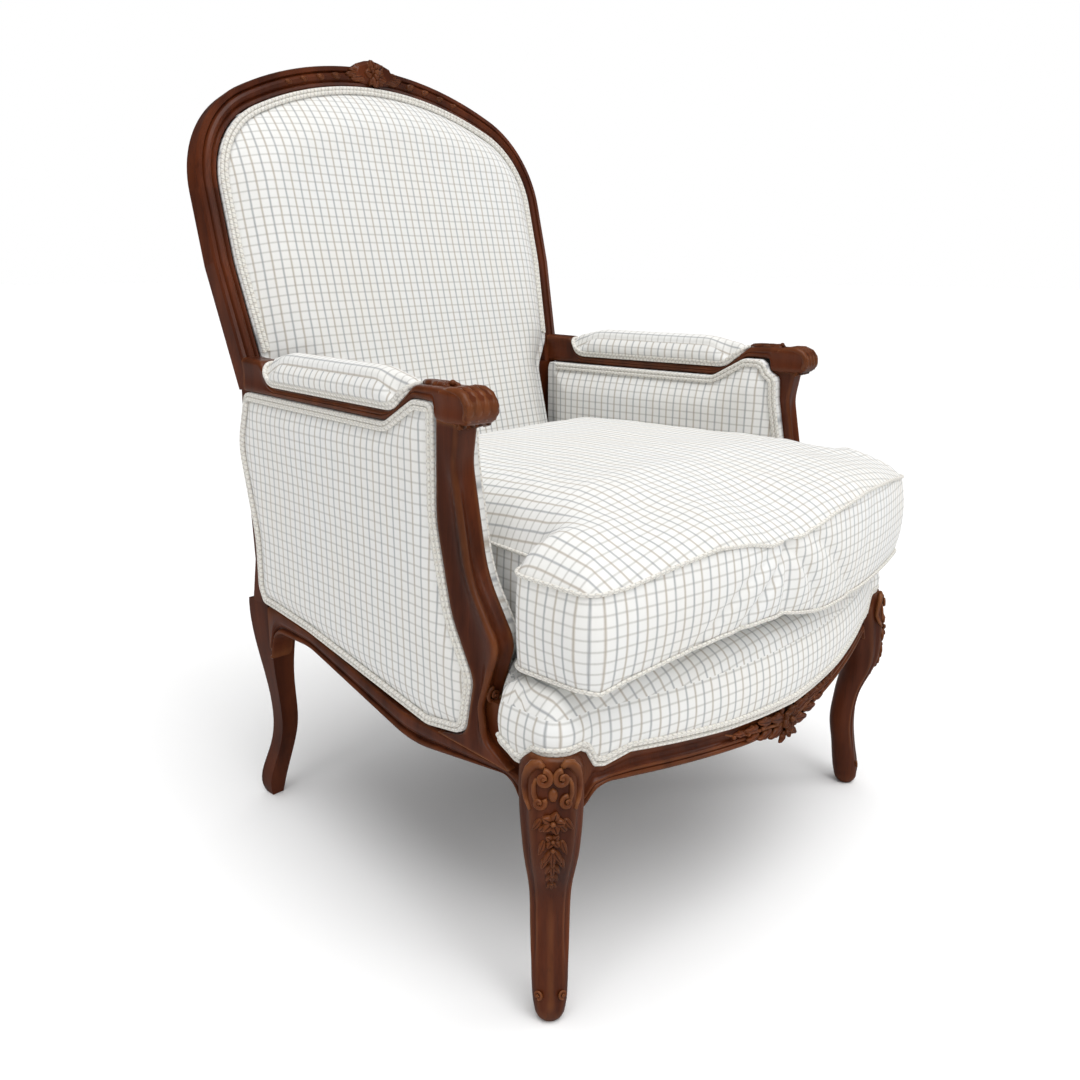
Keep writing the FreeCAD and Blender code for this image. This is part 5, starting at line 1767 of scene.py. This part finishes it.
@dataclass
class Arms:
    """The arms with their scrolled ends, and the supports that sweep down to the rails.

    Args:
        finishes: the chair's materials.
        volute_height: height of the volute at each support's foot.
        volute_depth: how far inside the support's outer face it is.
    """

    finishes: Finishes
    volute_height: float = 330.0
    volute_depth: float = 14.0
    TOP: Line = (
        (-192, 622, 0), (-188, 628, 5), (-182, 632, 5), (-140, 633.5, 16), (-103, 632, 14), (-66, 601, 30),
        (198, 601, 24), (218, 631, 10), (264.5, 632, 0),
    )
    UNDER: Line = (
        (-192, 607, 0), (-186, 600, 5), (-150, 599.5, 4), (-138, 600, 3), (-136, 617, 5), (-100, 618, 12),
        (-48, 589, 22), (264.5, 590, 0),
    )
    REAR_EDGE: Line = (
        (600, -138, 0), (500, -134, 150), (405, -156, 120), (345, -190, 28), (278, -176, 24), (265, -128, 0),
    )
    FRONT_EDGE: Line = (
        (600, -172, 0), (560, -165, 60), (450, -186, 120), (388, -228, 26), (318, -202, 30), (283, -208, 22),
        (265, -246, 0),
    )

    def arm(self, side: Side) -> None:
        """One arm, a rounded rail that steps down under the pad."""
        plane = side_plane(side, inward=True)
        rings = []
        for along in (*np.linspace(-192, -96, 60), *np.linspace(-94, 264.5, 110)):
            high, low = read_line(self.TOP, along), read_line(self.UNDER, along)
            end = float(smooth((-130 - along) / 30.0))
            near, far = -3.0 * end, 34.0 - 5.0 * float(smooth((along - 60) / 200.0)) + 3.0 * end
            box = ((near, low), (near, high), (far, high), (far, low))
            hollow = 1.2 if along > 214 else 0.8
            ring = worked_section(box, 6.0, (hollow, 0.0, hollow, 0.0), 8)
            rings.append([plane.at(along, h, d) for d, h in ring])
        show_wood(f"arm_{side.word}", "shaped", rings, self.finishes.wood[Grain.DEPTH], 60)

    def support(self, side: Side) -> None:
        """One support, with a channel down its outer face and one down its front."""
        plane = side_plane(side, inward=True)
        rings = []
        for z in (264.6, 266, 268, 271, 274, 277, *np.linspace(280, 602, 92)):
            rear, front = read_line(self.REAR_EDGE, z), read_line(self.FRONT_EDGE, z)
            worked = float(smooth((575 - z) / 60.0)) * float(smooth((z - 262) / 30.0))
            box = ((0, rear), (0, front), (28, front), (28, rear))
            ring = worked_section(box, 4.5, (4.2 * worked, 4.6 * worked, 0.5, 0.0), 14)
            rings.append([plane.at(a, z, d) for d, a in ring])
        show_wood(f"arm_support_{side.word}", "shaped", rings, self.finishes.wood[Grain.UPRIGHT], 60)

    def carve(self, side: Side) -> None:
        """The lobes over the scrolled end, the leaf before the pad and the volutes on the support."""
        wall = side_plane(side, inward=True)
        level = arm_plane(side)
        tool = Carver()
        for k in range(4):
            depth = 2.0 + 10.1 * k
            course = [wall.at(a, z, depth) for a, z in
                      ((-150, 630.5), (-162, 631.5), (-174, 630.8), (-183, 627), (-188, 620.5), (-189, 613),
                       (-186, 606), (-180, 600.5), (-174, 597))]
            radii = [2.2, 4.0, 5.0, 5.4, 5.5, 5.5, 5.2, 4.4, 2.6]
            tool.scroll(course, radii, (wall.across * -1 + wall.up).normalized(), 0.9)
        edge = [wall.at(-150, 629, d) for d in np.linspace(-2, 36, 12)]
        tool.scroll(edge, [2.4] * 12, wall.up, 0.8)
        root = Plane(level.at(17, -148, 632.5), level.up, level.across, level.out)
        for aside, angle, length, width in ((0, 0, 52, 17), (-7, 16, 38, 11), (7, -16, 38, 11), (-9, 38, 20, 9),
                                            (9, -38, 20, 9)):
            tool.leaf(root.turned(angle, 0, aside), length, width, 5.0, lift=0.6, lobes=3.0)
        tool.bead(root.at(2, 0, 3.5), 3.4, root.out)
        foot = wall.at(read_line(self.FRONT_EDGE, self.volute_height), self.volute_height, self.volute_depth)
        tool.volute(Plane(foot, wall.out, wall.up, -wall.across), 8.0, 1.4, math.radians(90), 1, 2.6)
        tool.finish(f"arm_{side.word}_carving", self.finishes.wood[Grain.DEPTH])

    def build(self) -> None:
        """Makes both arms and supports."""
        for side in Side:
            self.arm(side)
            self.support(side)
            self.carve(side)


@dataclass
class Crest:
    """The carved flower and husks on the crest rail, whose moulding is packed.

    Args:
        finishes: the chair's materials.
        arch_radius: radius of the crest's arch.
        arch_centre: height of the arch's centre on the back's plane.
    """

    finishes: Finishes
    arch_radius: float = 500.0
    arch_centre: float = -137.0

    def on_arch(self, across: float, out_of_edge: float) -> Plane:
        """A plane on the crest's face, its first direction along the arch away from the middle."""
        reach = self.arch_radius + out_of_edge
        angle = math.asin(max(-1.0, min(1.0, across / reach)))
        face = back_plane()
        tangent = (face.across * math.cos(angle) - face.up * math.sin(angle)) * math.copysign(1.0, across or 1.0)
        radial = face.across * math.sin(angle) + face.up * math.cos(angle)
        spot = face.at(reach * math.sin(angle), self.arch_centre + reach * math.cos(angle), -1.0)
        return Plane(spot, tangent, radial, face.out)

    def build(self) -> None:
        """Makes the carving."""
        tool = Carver()
        middle = self.on_arch(0.001, 17)
        tool.flower(middle.turned(18, 0, 2, 3.0), 17.5, 5, 6.5)
        tool.flower(middle.turned(55, 0, 3, 7.0), 10.5, 4, 5.0)
        for angle, length, width in ((90, 20, 20), (58, 21, 15), (122, 21, 15), (-90, 17, 15), (-50, 18, 13),
                                     (-130, 18, 13)):
            tool.leaf(middle.turned(angle, height=1.0), length, width, 6.0, lift=2.0)
        for hand in (-1, 1):
            for across, angle, length, width in (
                (10, 10, 33, 15), (12, -13, 31, 13), (10, 32, 25, 12), (26, 0, 24, 10),
            ):
                root = self.on_arch(hand * across, 15.5)
                tool.leaf(root.turned(angle, height=1.0), length, width, 5.0, bend=1.5, lift=1.0, lobes=1.5)
            for across, size in ((64, 4.8), (92, 4.2), (120, 3.9), (146, 3.4)):
                spot = self.on_arch(hand * across, 13.0)
                seed = spot.turned(18, -5, -1, 0.6)
                tool.leaf(seed, size * 3.2, size * 1.9, size * 0.9, lift=0.5)
                tool.bead(spot.at(3, 1.5, 2.0), size * 0.62, spot.out, 1.3, spot.across)
        tool.finish("crest_carving", self.finishes.wood[Grain.ACROSS])


# Sub-assemblies


@dataclass
class Frame:
    """The wooden frame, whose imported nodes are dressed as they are."""

    finishes: Finishes
    nodes: dict[str, bpy.types.Object]

    UPRIGHT = ("rear_post_left", "rear_post_right")
    ACROSS = ("crest_rail", "lower_back_rail", "rear_seat_rail")
    HIDDEN = ("arm_dowels", "crest_dowels", "corner_block_front_left", "corner_block_front_right",
              "corner_block_rear_left", "corner_block_rear_right")

    def dress(self, name: str, material: Material) -> None:
        """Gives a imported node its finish."""
        node = self.nodes[name]
        if not node.material_slots:
            node.data.materials.append(material)
        for slot in node.material_slots:
            slot.material = material

    def build(self) -> None:
        """Dresses every wooden node."""
        for names, grain in ((self.UPRIGHT, Grain.UPRIGHT), (self.ACROSS, Grain.ACROSS)):
            for name in names:
                self.dress(name, self.finishes.packed_wood[grain])
        for name in self.HIDDEN:
            self.dress(name, self.finishes.beech)


OPENING_HALF: Line = ((-267, 4, 0), (-277.5, 119.5, 200), (-277.5, 285.85, 118.8), (0, 412.9, 500))


@dataclass
class Back(Upholstery):
    """The stuffed inside back and the flat outside back."""

    def inside(self) -> None:
        """The crowned pad towards the sitter, which runs down behind the cushion."""
        outline = rounded(mirrored_outline([(-238, -255, 20), (-238, -50, 30), (-266, -6, 20), *OPENING_HALF[1:]]))
        panel = TackedPanel(
            "inside_back", back_plane(), inset(outline, 0.6, 5.0), ((0, -120), (0, 235)),
            rise=0.5, crown=33.0, shoulder=62.0, depth=7.6,
        )
        self.cover(panel, 0.9, "inside_back_pad")
        self.welt("inside_back_welt", panel.welt_lines(self.cord_radius, lambda x, y: y > 4))

    def outside(self) -> None:
        """The panel behind, flat on the frame above and hanging to the seat rail below."""
        plane = back_plane(forward=False)
        outline = inset(rounded(mirrored_outline([(-263, -28, 8), *OPENING_HALF])), 0.6, 5.0)
        upper = TackedPanel(
            "outside_back_upper", plane, outline, ((0, 20), (0, 235)), rise=26.5, crown=4.0, shoulder=60.0, depth=-20.0
        )
        self.cover(upper, 0.7, "outside_back_panel")
        self.welt("outside_back_welt", upper.welt_lines(self.cord_radius, lambda x, y: y > 2))
        lean = Vector((0, -22, 236)).normalized()
        lower_plane = Plane(Vector((0, 293.5, 326)), Vector((1, 0, 0)), lean, Vector((0, lean.z, -lean.y)))
        outline = rounded([(-237.5, 0, 2), (237.5, 0, 2), (237.5, 272.4, 2), (-237.5, 272.4, 2)])
        lower = TackedPanel(
            "outside_back_lower", lower_plane, outline, ((-118, 136), (118, 136)),
            rise=-1.0, crown=3.5, shoulder=60.0, depth=5.0, band=3.0,
        )
        self.cover(lower, 0.6)

    def build(self) -> None:
        """Makes both."""
        self.inside()
        self.outside()


@dataclass
class SidePanels(Upholstery):
    """The panels under the arms, outside and inside."""

    OUTSIDE: Line = (
        (263.5, 590, 10), (-48, 589, 22), (-100, 618, 12), (-136, 618, 6), (-134, 500, 150),
        (-156, 405, 120), (-190, 345, 28), (-176, 278, 24), (-110, 266, 26), (140, 302, 120),
        (215, 308, 60), (252, 310, 6), (264, 330, 20), (262, 400, 150), (291, 520, 70),
    )
    INSIDE: Line = (
        (252, 589.7, 2), (-50, 588.7, 24), (-99, 616.4, 12), (-133.5, 616.4, 5), (-138, 598.4, 5), (-151, 596, 8),
        (-153, 560, 60), (-174, 450, 120), (-216, 388, 26), (-196, 341, 14), (-186, 329.3, 6), (252, 329.3, 6),
    )

    def outside(self, side: Side) -> None:
        """The flat panel seen from the side."""
        outline = inset(rounded(self.OUTSIDE), 0.5, 5.0)
        panel = TackedPanel(
            f"outside_side_{side.word}", side_plane(side), outline, ((-60, 450), (160, 450)),
            rise=-2.2, crown=5.5, shoulder=26.0, depth=9.5,
        )
        self.cover(panel, 0.8, f"outside_side_panel_{side.word}")
        self.welt(f"outside_side_welt_{side.word}", panel.welt_lines(self.cord_radius))

    def inside(self, side: Side) -> None:
        """The thicker pad beside the sitter."""
        outline = inset(rounded(self.INSIDE), 0.3, 5.0)
        panel = TackedPanel(
            f"inside_side_{side.word}", side_plane(side, inward=True), outline, ((-90, 460), (180, 460)),
            rise=41.5, crown=13.0, shoulder=40.0, depth=-28.3,
        )
        self.cover(panel, 0.9, f"inside_side_pad_{side.word}")
        lines = panel.welt_lines(self.cord_radius, lambda x, y: y > 390 and x < 235)
        self.welt(f"inside_side_welt_{side.word}", lines)

    def build(self) -> None:
        """Makes both sides."""
        for side in Side:
            self.outside(side)
            self.inside(side)


@dataclass
class ArmPads(Upholstery):
    """The elbow pads, sunk in the arms."""

    LENGTH = (-93.0, 211.0)
    WIDTH = (1.0, 33.0)

    def form(self, side: Side) -> StuffedForm:
        """One pad's form on its arm."""
        (rear_in, front_in), (near, far) = self.LENGTH, self.WIDTH
        middle = (near + far) / 2
        outline = rounded([(near, rear_in, 13), (far, rear_in, 13), (far, front_in, 13), (near, front_in, 13)], 4.0)
        along = outline[:, 1]
        low = np.array([read_line(Arms.TOP, a) + 0.8 for a in along])

        def crown(points: np.ndarray, gap: np.ndarray) -> np.ndarray:
            """A round back, lower at both ends."""
            ends = smooth((points[:, 1] - rear_in + 8) / 78.0) * smooth((front_in - points[:, 1] + 6) / 70.0)
            return 17.0 * np.sqrt(1 - (1 - np.clip(gap / 16.0, 0, 1)) ** 2) * (0.35 + 0.65 * ends)

        ends = smooth((along - rear_in + 12) / 62.0) * smooth((front_in - along + 10) / 56.0)
        crest = 604.0 + 27.0 * smooth((along - rear_in + 10) / 70.0) * smooth((front_in - along + 10) / 60.0)
        high = np.maximum(low + 3.0, crest)
        bulge = 1.0 + 5.6 * ends
        return StuffedForm(
            f"arm_pad_{side.word}_cover", arm_plane(side), outline,
            ((middle, rear_in + 16), (middle, front_in - 16)), low, high, bulge, crown, rows=14, border_rows=12,
            pull=0.4,
        )

    def build(self) -> None:
        """Makes both pads."""
        for side in Side:
            form = self.form(side)
            self.cover(form, 0.95, f"arm_pad_{side.word}")
            lines = [(form.seam(0.0, 1.2, 2.4), True), (form.seam(0.0, 3.0, 6.8), True)]
            self.welt(f"arm_pad_welt_{side.word}", lines)


@dataclass
class Linings:
    """The webbing, hessian and dust cover that carry and close the stuffing."""

    finishes: Finishes
    strap_width: float = 50.0
    strap_thick: float = 0.9
    CROSS_AT: tuple[Spot, ...] = ((-185, 322), (-53, 311), (78, 299), (210, 288))
    LONG_AT: tuple[float, ...] = (-186, -62, 62, 186)

    def strap(
        self, shape: Shape, start: Vector, end: Vector, side: Vector, lift: Callable[[float], float] | None = None
    ) -> None:
        """Adds one strap between two places, raised by lift at a distance along it."""
        run = end - start
        length, way = run.length, run.normalized()
        face = way.cross(side).normalized()
        thick = face * self.strap_thick
        rings, travel = [], np.linspace(0, length, max(2, int(length / 8)))
        for gone in travel:
            spot = start + way * gone + face * (lift(gone) if lift else 0.0)
            edge = side * self.strap_width / 2
            rings.append([spot - edge, spot + edge, spot + edge + thick, spot - edge + thick])
        numbers = [shape.ring(r) for r in rings]
        width = self.strap_width
        for low, high, a, b in zip(numbers, numbers[1:], travel, travel[1:]):
            shape.bridge(low, high, [(0, a), (width, a), (width, a), (0, a), (0, a)],
                         [(0, b), (width, b), (width, b), (0, b), (0, b)])
        shape.face(list(reversed(numbers[0])))
        shape.face(numbers[-1])

    def webbing(self, name: str, shape: Shape, node: str, length: float, held_by: Sequence[str]) -> None:
        """Makes a set of straps and shows them in place of their node."""
        piece = place(shape.build(name, self.finishes.webbing, 40), Slot.WEBBING, CHAIR, (node,))
        length * MM
        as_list(held_by)

    def seat_straps(self) -> None:
        """The two layers of seat webbing, woven over and under each other."""
        cross, long = Shape(), Shape()
        total = 0.0
        for index, (y, half) in enumerate(self.CROSS_AT):
            turn = 1 if index % 2 else -1
            self.strap(
                cross, Vector((-half, y, 326.0)), Vector((half, y, 326.0)), Vector((0, -1, 0)),
                lambda gone, h=half, t=turn: 0.7 * t * math.sin(math.pi * (gone - h) / 124.0),
            )
            total += 2 * half
        self.webbing("seat_webbing_cross_straps", cross, "seat_webbing_cross", total,
                     ("side_seat_rail_left", "side_seat_rail_right"))
        for x in self.LONG_AT:
            self.strap(long, Vector((x, -316, 327.4)), Vector((x, 284, 327.4)), Vector((1, 0, 0)))
        self.webbing("seat_webbing_long_straps", long, "seat_webbing_long", 2400.0,
                     ("front_seat_rail", "rear_seat_rail"))

    def back_straps(self) -> None:
        """The webbing across the back and up the sides."""
        shape, back = Shape(), back_plane(forward=False)
        for up in (0, 60.5, 121, 181):
            self.strap(shape, back.at(-263, up, 10.4), back.at(263, up, 10.4), -back.up)
        self.webbing("back_webbing_straps", shape, "back_webbing", 2104.0, ("rear_post_left", "rear_post_right"))
        for side in Side:
            shape, wall = Shape(), side_plane(side, inward=True)
            for along in (-62, 52, 167):
                self.strap(shape, wall.at(along, 330, 27.0), wall.at(along, 586, 27.0), wall.across * side.value)
            self.webbing(f"side_webbing_{side.word}_straps", shape, f"side_webbing_{side.word}", 768.0,
                         (f"side_seat_rail_{side.word}", f"arm_{side.word}"))

    def cloth(
        self, panel: TackedPanel, node: str, material: Material, slot: Slot, held_by: Sequence[str]
    ) -> None:
        """Makes a stretched sheet and shows it in place of its node."""
        piece = place(panel.build(material), slot, CHAIR, (node,))
        low, high = panel.outline.min(axis=0), panel.outline.max(axis=0)
        area = float(abs(signed_area(panel.outline))) * MM * MM
        tuple(float(v) * MM for v in high - low)

    def build(self) -> None:
        """Makes all linings."""
        self.seat_straps()
        self.back_straps()
        seat = TackedPanel(
            "seat_hessian_sheet", FLOOR, rounded(mirrored_outline([(-270, 212, 4), (-305, -185, 4), (-306, -292, 4)])),
            ((-60, -40), (60, -40)), rise=329.2, crown=0.4, shoulder=60.0, depth=-328.5, band=1.0, pull=0.2, rows=8,
        )
        self.cloth(seat, "seat_hessian", self.finishes.hessian, Slot.HESSIAN, ("seat_webbing_long_straps",))
        outline = rounded(mirrored_outline([(-236, -252, 20), (-236, -50, 30), (-263, -6, 20), *OPENING_HALF[1:]]))
        back = TackedPanel(
            "back_hessian_sheet", back_plane(), inset(outline, 2.5, 8.0), ((0, -120), (0, 235)),
            rise=-8.2, crown=0.2, shoulder=60.0, depth=9.0, band=1.0, pull=0.1, rows=8,
        )
        self.cloth(back, "back_hessian", self.finishes.hessian, Slot.HESSIAN, ("back_webbing_straps",))
        under = TackedPanel(
            "dust_cover_sheet", FLOOR,
            rounded(mirrored_outline([(-262, 264, 4), (-300, -150, 4), (-300, -205, 4), (-262, -288, 4)])),
            ((-60, -20), (60, -20)), rise=265.4, crown=0.0, shoulder=60.0, depth=-264.4, band=2.0, pull=0.0, rows=10,
            sag=lambda points: 3.0 * smooth((points[:, 1] + 100) / 300.0),
        )
        self.cloth(under, "dust_cover", self.finishes.dust, Slot.DUST_CLOTH, ("side_seat_rail_left", "rear_seat_rail"))


@dataclass
class Platform(Upholstery):
    """The stuffed seat under the cushion, with its border down to the rails.

    Args:
        welt_end: the welt runs in front of this Y.
    """

    welt_end: float = -229.0
    OUTLINE: Line = ((-236, 184, 20), (-276, -226, 8), (-340, -230, 8), (-345, -309, 20), (-297, -312, 50))
    EDGE: Line = (
        (-253, -326, 285), (-283, -318, 277), (-292, -314, 279), (-303, -312, 297), (-312, -311, 303),
        (-341, -300, 303), (-344, -284, 300), (-343, -268, 283), (-342, -259, 283), (-341, -246, 288),
        (-338, -230, 294), (-300, -228, 312), (-276, -226, 315), (-236, 184, 315), (-120, -352, 270),
    )

    def build(self) -> None:
        """Makes the platform and its double welt."""
        plan = rounded(mirrored_outline([*self.OUTLINE, (0, -420.8, 895)]))
        mirrored_edge = [(-x, y, z) for x, y, z in self.EDGE]
        low = at_stations(plan, [*self.EDGE, *mirrored_edge, (0, -366, 263)])
        front = smooth((-200 - plan[:, 1]) / 60.0)
        high = np.full(len(plan), 338.0)
        form = StuffedForm(
            "platform", FLOOR, plan, ((-120, -120), (120, -120)), low, high, 6.0 * front,
            lambda points, gap: 27.0 * np.sqrt(1 - (1 - np.clip(gap / 34.0, 0, 1)) ** 2), rows=26, border_rows=18,
            pull=0.3,
        )
        self.cover(form, 0.85, "platform_cover", "platform_stuffing")
        lines = []
        for share, outside, lift in ((0.02, 1.6, 1.2), (0.06, 2.6, 5.0)):
            line = form.seam(share, outside, lift)
            lines.append((held_run(line, np.array([p.y < self.welt_end for p in line])), False))
        self.welt("platform_welt", lines)


@dataclass
class SeatCushion(Upholstery):
    """The loose feather cushion with ears in front of the arm supports."""

    cord_radius: float = 2.0
    HALF: Line = ((-233, 168, 28), (-279, -224, 14), (-329, -240, 20), (-329, -335, 24), (0, -416.2, 1373))
    TOP_SEAM: Line = (
        (-325, -334, 464), (-285, -346, 466), (-233, -358, 475), (-175, -369, 482), (-127, -376, 477),
        (-83, -380, 468), (-21, -383, 468), (44, -382, 480), (139, -374, 488), (235, -358, 484), (325, -335, 473),
        (329, -245, 468), (281, -224, 466), (256, 0, 468), (233, 168, 466), (0, 168, 466), (-233, 168, 466),
        (-256, 0, 468), (-281, -224, 466), (-329, -245, 466),
    )
    LOW_SEAM: Line = (
        (-329, -327, 372), (-317, -337, 369), (-288, -345, 376), (-232, -358, 384), (-165, -369, 390),
        (-97, -378, 390), (-49, -382, 387), (25, -383, 371), (104, -378, 369), (230, -358, 371), (329, -330, 372),
        (329, -245, 372), (0, 168, 372), (-329, -245, 372),
    )

    @staticmethod
    def crown(points: np.ndarray, gap: np.ndarray) -> np.ndarray:
        """The top's height above its seam: full behind, lower towards the front, steep at the sides."""
        forward = 24.0 + 36.0 * smooth((points[:, 1] + 372.0) / 175.0)
        return forward * (1 - np.exp(-gap / 24.0))

    @staticmethod
    def crease(outline: np.ndarray, share: float) -> np.ndarray:
        """Folds that fan out from the tuck in the front border."""
        x, front = outline[:, 0], smooth((-250 - outline[:, 1]) / 60.0)
        height = share - 0.5
        folds = np.zeros(len(outline))
        for lean, place_, depth, width in ((0.0, -52, 8.5, 12), (85, -88, 6.0, 10), (-75, -14, 5.5, 10),
                                           (130, -138, 3.6, 11), (-120, 50, 4.2, 12), (60, 150, 2.0, 18)):
            line = place_ + lean * height
            folds -= depth * np.exp(-(((x - line) / width) ** 2)) * (1 - (2 * height) ** 2 * 0.5)
        return folds * front

    def build(self) -> None:
        """Makes the cushion and its two welts."""
        plan = rounded(mirrored_outline(self.HALF))
        front = smooth((-235 - plan[:, 1]) / 60.0)
        form = StuffedForm(
            "cushion", FLOOR, plan, ((-2, -170), (2, -170)), at_stations(plan, self.LOW_SEAM),
            at_stations(plan, self.TOP_SEAM), 2.0 + 5.0 * front, self.crown,
            lambda points, gap: 5.0 * smooth(gap / 60.0), self.crease, rows=56, border_rows=22, pull=2.4,
        )
        self.cover(form, 0.75, "cushion_cover", "cushion_insert", body=SEAT_CUSHION)
        for edge, share, lift in (("top", 1.0, 0.6), ("bottom", 0.0, -0.4)):
            line = form.seam(share, 1.3, lift)
            self.welt(f"cushion_{edge}_welt", [(line, True)], f"cushion_{edge}_cord", SEAT_CUSHION)


def main() -> None:
    """Builds the whole scene."""
    logging.basicConfig(level=logging.INFO, format="%(message)s")
    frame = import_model()
    finishes = Finishes()
    cords = CordTree()
    Studio().build()
    Frame(finishes, frame["nodes"]).build()
    for part in (FrontLegs, SideRails, FrontRail, Arms, Crest):
        part(finishes).build()
    Back(finishes, cords).build()
    SidePanels(finishes, cords).build()
    ArmPads(finishes, cords).build()
    Linings(finishes).build()
    Platform(finishes, cords).build()
    SeatCushion(finishes, cords).build()


if __name__ == "__main__":
    main()
